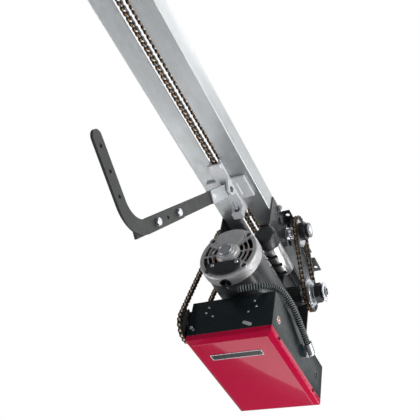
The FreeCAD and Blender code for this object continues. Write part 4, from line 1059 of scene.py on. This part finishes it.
def make_trolley():
    bm = bmesh.new()
    block(bm, 215, 385, -15, 15, -68, -64)
    block(bm, 327, 385, -19.3, 19.3, -68, -64.2)
    for s in (1, -1):
        block(bm, 355, 385, s * 15, s * 19.3, -66, -61)
        block(bm, 215, 385, s * 8.7, s * 15, -67.5, -44)
        block(bm, 255, 325, s * 9, s * 52, -60.6, -53)
        block(bm, 235, 365, s * 14, s * 40, -47.8, -44)
        block(bm, 372, 385, s * 9, s * 15, -70.5, -60)
        ear = [(286, -62), (334, -62), (332, -72), (320, -92), (300, -92), (288, -74)]
        prism(bm, along_y(0, 0), ear, s * 8.1, s * 15.2)
        prism(bm, along_z(0, 0), [(262, s * 12), (318, s * 12), (310, s * 26), (270, s * 26)], -63.5, -56)
    block(bm, 221, 240, -14, 14, -95.6, -65)
    obj = piece("trolley_casting", bm, "trolley", ["cast_trolley"], "trolley_body")
    cast_blend(obj, 0.9, 5)
    tools = bmesh.new()
    rod(tools, along_y(*PIVOT), 5.1, -24, 24, 28)
    screw = along_x(*TAKEUP)
    lathe(tools, screw, [(0, 210), (4.4, 210), (4.4, 235.4), (8.6, 235.4), (8.6, 250), (0, 250)], 6)
    carve(obj, tools)
    smooth_over(obj, sharp=45)

    bm = bmesh.new()
    thread = [(0, 268), (2.9, 267.8)]
    x = 267.2
    while x > 209.5:
        thread += [(3.95, x), (3.3, x - 0.62)]
        x -= 1.25
    lathe(bm, screw, thread + [(3, 209), (0, 209)], 20)
    hex_head(bm, screw, 12.7, 237, 243, 1)
    hex_head(bm, screw, 12.7, 220.8, 214.5, 1)
    lathe(bm, screw, [(4.6, 235.5), (8.3, 235.5), (8.3, 235.9), (4.6, 235.9)], 6, 1, True)
    piece("takeup_screw", bm, "trolley", ["bright_zinc", "dark_steel"], "takeup_bolt",
          smooth=30)

    bm = bmesh.new()
    spot = along_y(*PIVOT)
    lathe(bm, spot, [(0, -18.4), (4.4, -18.4), (5, -17.8), (5, 14.8), (7.6, 15.3), (7.6, 16.8), (6.6, 17.6),
                     (0, 17.8)], 28)
    lathe(bm, spot, [(5, -16.8), (7, -16.8), (7, -15.6), (5, -15.6)], 28, 0, True)
    piece("clevis_pin", bm, "trolley", ["dark_steel"], "pivot_pin", smooth=30)


def make_arm_hardware():
    bm = bmesh.new()
    for s in (298, 395):
        spot = lambda u, v, w, s=s: on_arm(s + u, v, w)
        lathe(bm, spot, [(0, 9), (9.4, 9), (9.6, 9.4), (9.6, 10.2), (9.2, 10.5), (0, 10.5)], 32, 1)
        hex_head(bm, spot, 15.4, 10.4, 15.4, 0, 0.2)
        hex_head(bm, spot, 14, -3.1, -10.4)
        lathe(bm, spot, [(4.1, -10), (4.1, -13.2), (3.4, -14), (0, -14)], 20)
    flat = lambda u, v, w: on_arm(70 + u, v, w)
    for s in (1, -1):
        rod(bm, flat, 4, s * 5.9, s * 6.3, 24)
    piece("arm_bolt_heads", bm, "arm", ["bright_zinc", "dark_steel"], "arm_bolts", smooth=24)

    bm = bmesh.new()
    for side in (1, -1):
        rings = []
        for grow, lift in ((0, 6.42), (-0.7, 6.95), (-1.3, 6.95), (-2, 6.42)):
            rim = stadium(17 + grow, 4.6 + grow)
            rings.append([bm.verts.new(on_arm(89 + u, v, side * lift)) for v, u in rim])
        skin(bm, rings)
    piece("sleeve_emboss", bm, "arm", ["sleeve_metal"], smooth=60)


make_trolley()
make_arm_hardware()


# ---- capacitor, terminal cover and grommet
def make_motor_trim():
    can_at = along_x(*CAPACITOR)
    bm = bmesh.new()
    lathe(bm, can_at, [(0, 50), (20.6, 50), (21.4, 48.2), (23.4, 48.4), (23.9, 49.4), (23.9, 160)], 56)
    piece("capacitor_shell", bm, "frame", ["capacitor_metal"], "capacitor_can", smooth=40)
    bm = bmesh.new()
    lathe(bm, can_at, [(24, 152.2), (26.3, 152), (27, 153), (27, 184), (26.2, 188), (23, 191.4),
                       (20, 192), (0, 192)], 56)
    piece("capacitor_cap", bm, "frame", ["black_plastic"], "capacitor_boot", smooth=40)
    bm = bmesh.new()
    for x in (60, 92, 124):
        ring = [(24.05, x - 4), (24.6, x - 4.2), (26.4, x - 2.6), (26.6, x), (26.4, x + 2.6), (24.6, x + 4.2),
                (24.05, x + 4)]
        cols = []
        for k in range(31):
            a = radians(88 + k * 7)
            cols.append([bm.verts.new(can_at(r * cos(a), r * sin(a), h)) for r, h in ring])
        for a, b in zip(cols, cols[1:]):
            for i in range(len(ring) - 1):
                bm.faces.new((a[i], a[i + 1], b[i + 1], b[i]))
        for end in (cols[0], cols[-1]):
            bm.faces.new(end)
        block(bm, x - 4, x + 4, 47, 66, -108.5, -102.05)
    piece("capacitor_ribs", bm, "frame", ["soft_black"], "capacitor_clamp", bevel=0.4)

    at = along_x(*MOTOR)
    outline = arc(0, 0, 67, -136, -62, 26)
    outline += [(36.6, -52), (36.6, -32), (34, -29.2), (-46, -29.2), (-48.2, -32)]
    bm = bmesh.new()
    prism(bm, at, outline, 240.1, 245.2)
    inset = [(u * 0.9 - 0.6, (v + 47) * 0.78 - 47) for u, v in outline]
    prism(bm, at, inset, 245, 246)
    piece("terminal_lid", bm, "frame", ["black_plastic"], "terminal_cover", bevel=1.1,
          segments=3)
    bm = bmesh.new()
    for u in (-32, 31):
        lathe(bm, along_x(MOTOR[0] + u, MOTOR[1] - 38.5),
              [(0, 246), (5, 246), (5.1, 246.8), (4.2, 248.4), (2, 249), (1.2, 248.8), (0.9, 248),
               (0, 248)], 24)
    piece("terminal_screws", bm, "frame", ["bright_zinc"], smooth=40)
    bm = bmesh.new()
    for axis in BELL_BOLTS:
        spot = along_x(*axis)
        # near-black cup round each bolt head in its hole: painted shade in the hole
        lathe(bm, spot, [(0, 232), (6, 232), (6, 236)], 24, 1)
        hex_head(bm, spot, 8, 232, 237.4, 0)
        lathe(bm, spot, [(3, 232), (3, 199)], 12, 0)
    piece("through_bolts", bm, "frame", ["dark_steel", "dark_gap"], "motor_screws", smooth=30)

    bm = bmesh.new()
    lip = [(11.4, -294), (11.4, -299.4), (13.6, -301.4), (14, -302.4), (13.2, -303.4), (11, -303.5),
           (9.2, -302.4), (8.5, -299.6), (8.4, -292)]
    lathe(bm, along_z(*LEAD_HOLE), lip, 40)
    piece("lead_grommet", bm, "frame", ["soft_black"], "conduit_grommet", smooth=40)


make_motor_trim()


# ---- CAD nodes that keep their shape
FINISH = {
    "galvanised_steel": "track_spacers",
    "black_frame": "header_bracket idler_bracket box_hangers limit_bracket",
    "arm_paint": "straight_arm curved_arm",
    "zinc_steel": "drive_shaft output_shaft limit_shaft conduit_connector",
    "sleeve_metal": "arm_sleeve",
    "dark_steel": "rail_bolts frame_screws motor_rotor",
    "cast_iron": "reducer_housing reducer_cover motor_rear_flange",
    "motor_shell": "motor_shell",
    "black_plastic": "button_case",
    "bronze": "worm_wheel limit_nuts",
    "green_board": "logic_board",
    "white_plastic": "button_open button_close",
    "red_plastic": "button_stop",
}
# edge radius where it isn't the usual one
EDGE = {"straight_arm": 0.9, "curved_arm": 0.9, "reducer_housing": 2.2, "reducer_cover": 1.2,
        "arm_sleeve": 0.8, "box_hangers": 0.5, "motor_rear_flange": 1.2, "conduit_connector": 0.8,
        "motor_shell": 0.6}
BODY = {node: body for body, group in frame["record"]["behaviour"]["bodies"].items() for node in group}
NODE_SLOT = "zinc_steel"        # every CAD node object is given this one material


def recast(node, look):
    """A clean copy of a CAD node: flat faces made whole again, and every edge rounded."""
    bm = bmesh.new()
    bm.from_mesh(nodes[node].data)
    bmesh.ops.remove_doubles(bm, verts=bm.verts, dist=0.000002)
    bmesh.ops.dissolve_limit(bm, angle_limit=radians(0.4), verts=bm.verts, edges=bm.edges)
    bmesh.ops.scale(bm, vec=(1000, 1000, 1000), verts=bm.verts)
    obj = piece(node + "_rounded", bm, BODY[node], [look], node, bevel=EDGE.get(node, 0.5))
    if "custom_normal" in obj.data.attributes:
        obj.data.attributes.remove(obj.data.attributes["custom_normal"])


def finish_nodes():
    for look, names in FINISH.items():
        for name in names.split():
            recast(name, look)
    for obj in nodes.values():
        obj.data.materials.clear()
        obj.data.materials.append(M[NODE_SLOT])


finish_nodes()


# ---- stage
def area_light(name, place, target, size, power):
    data = bpy.data.lights.new(name, "AREA")
    data.shape = "RECTANGLE"
    data.size, data.size_y = size
    data.energy = power
    obj = add(name, data)
    obj.location = place
    obj.rotation_euler = (Vector(target) - Vector(place)).to_track_quat("-Z", "Y").to_euler()
    obj.visible_camera = False
    return obj


def make_stage():
    bm = bmesh.new()
    bmesh.ops.create_grid(bm, x_segments=2, y_segments=2, size=30000)
    me = mesh_of(bm, "floor", [])
    floor = add("floor", me)
    floor.location = (0.3, 0, -2.5)
    k = Look("floor_paint")
    tone = k.ramp(k.noise(1.5, 3), [(0.3, (0.8, 0.8, 0.8)), (0.7, (0.84, 0.84, 0.84))])
    me.materials.append(k.out(Base_Color=tone, Roughness=0.7,
                              Emission_Color=(1, 1, 1), Emission_Strength=0.38))
    floor.visible_glossy = False

    world = bpy.data.worlds.new("World")
    scene.world = world
    world.use_nodes = True
    tree = world.node_tree
    soft = tree.nodes["Background"]
    white = tree.nodes.new("ShaderNodeBackground")
    for node, colour, strength in ((white, (1, 1, 1, 1), 1), (soft, (0.86, 0.9, 0.95, 1), 0.22)):
        node.inputs["Color"].default_value = colour
        node.inputs["Strength"].default_value = strength
    path = tree.nodes.new("ShaderNodeLightPath")
    mix = tree.nodes.new("ShaderNodeMixShader")
    for out, into in ((path.outputs["Is Camera Ray"], mix.inputs["Fac"]), (soft.outputs[0], mix.inputs[1]),
                      (white.outputs[0], mix.inputs[2]),
                      (mix.outputs[0], tree.nodes["World Output"].inputs["Surface"])):
        tree.links.new(out, into)

    centre = (0.25, 0, -0.2)
    area_light("key", (0.6, 2.4, -0.1), centre, (1.8, 1.2), 40)
    area_light("front", (2.6, 0.2, -0.3), centre, (0.9, 1.4), 2.5)
    area_light("left", (0.4, -2.2, -0.9), centre, (1.2, 1), 18)
    corner = area_light("corner", (-1.894, -0.525, -1.9), centre, (3, 1), 26)
    corner.rotation_euler = (pi, 0, radians(-22.5))
    strip = area_light("under_rails", (-0.45, -1.36, -1.9), centre, (2.2, 0.75), 3)
    strip.rotation_euler = (pi, 0, 0)
    fill = area_light("under_fill", (0.1, 0.1, -2.3), centre, (2.4, 2), 4)
    fill.visible_glossy = False
    area_light("side_sheen", (-1.3, 1.15, 1.25), (0.15, 0.08, -0.1), (1.5, 1.5), 7.5)
    area_light("edge_sheen", (-1, 1.25, -0.85), (0.3, 0.07, -0.1), (2.4, 0.35), 30)
    area_light("top", (0.3, 0.6, 2), centre, (2, 1.2), 22)
    scene.view_settings.view_transform = "Standard"


make_stage()
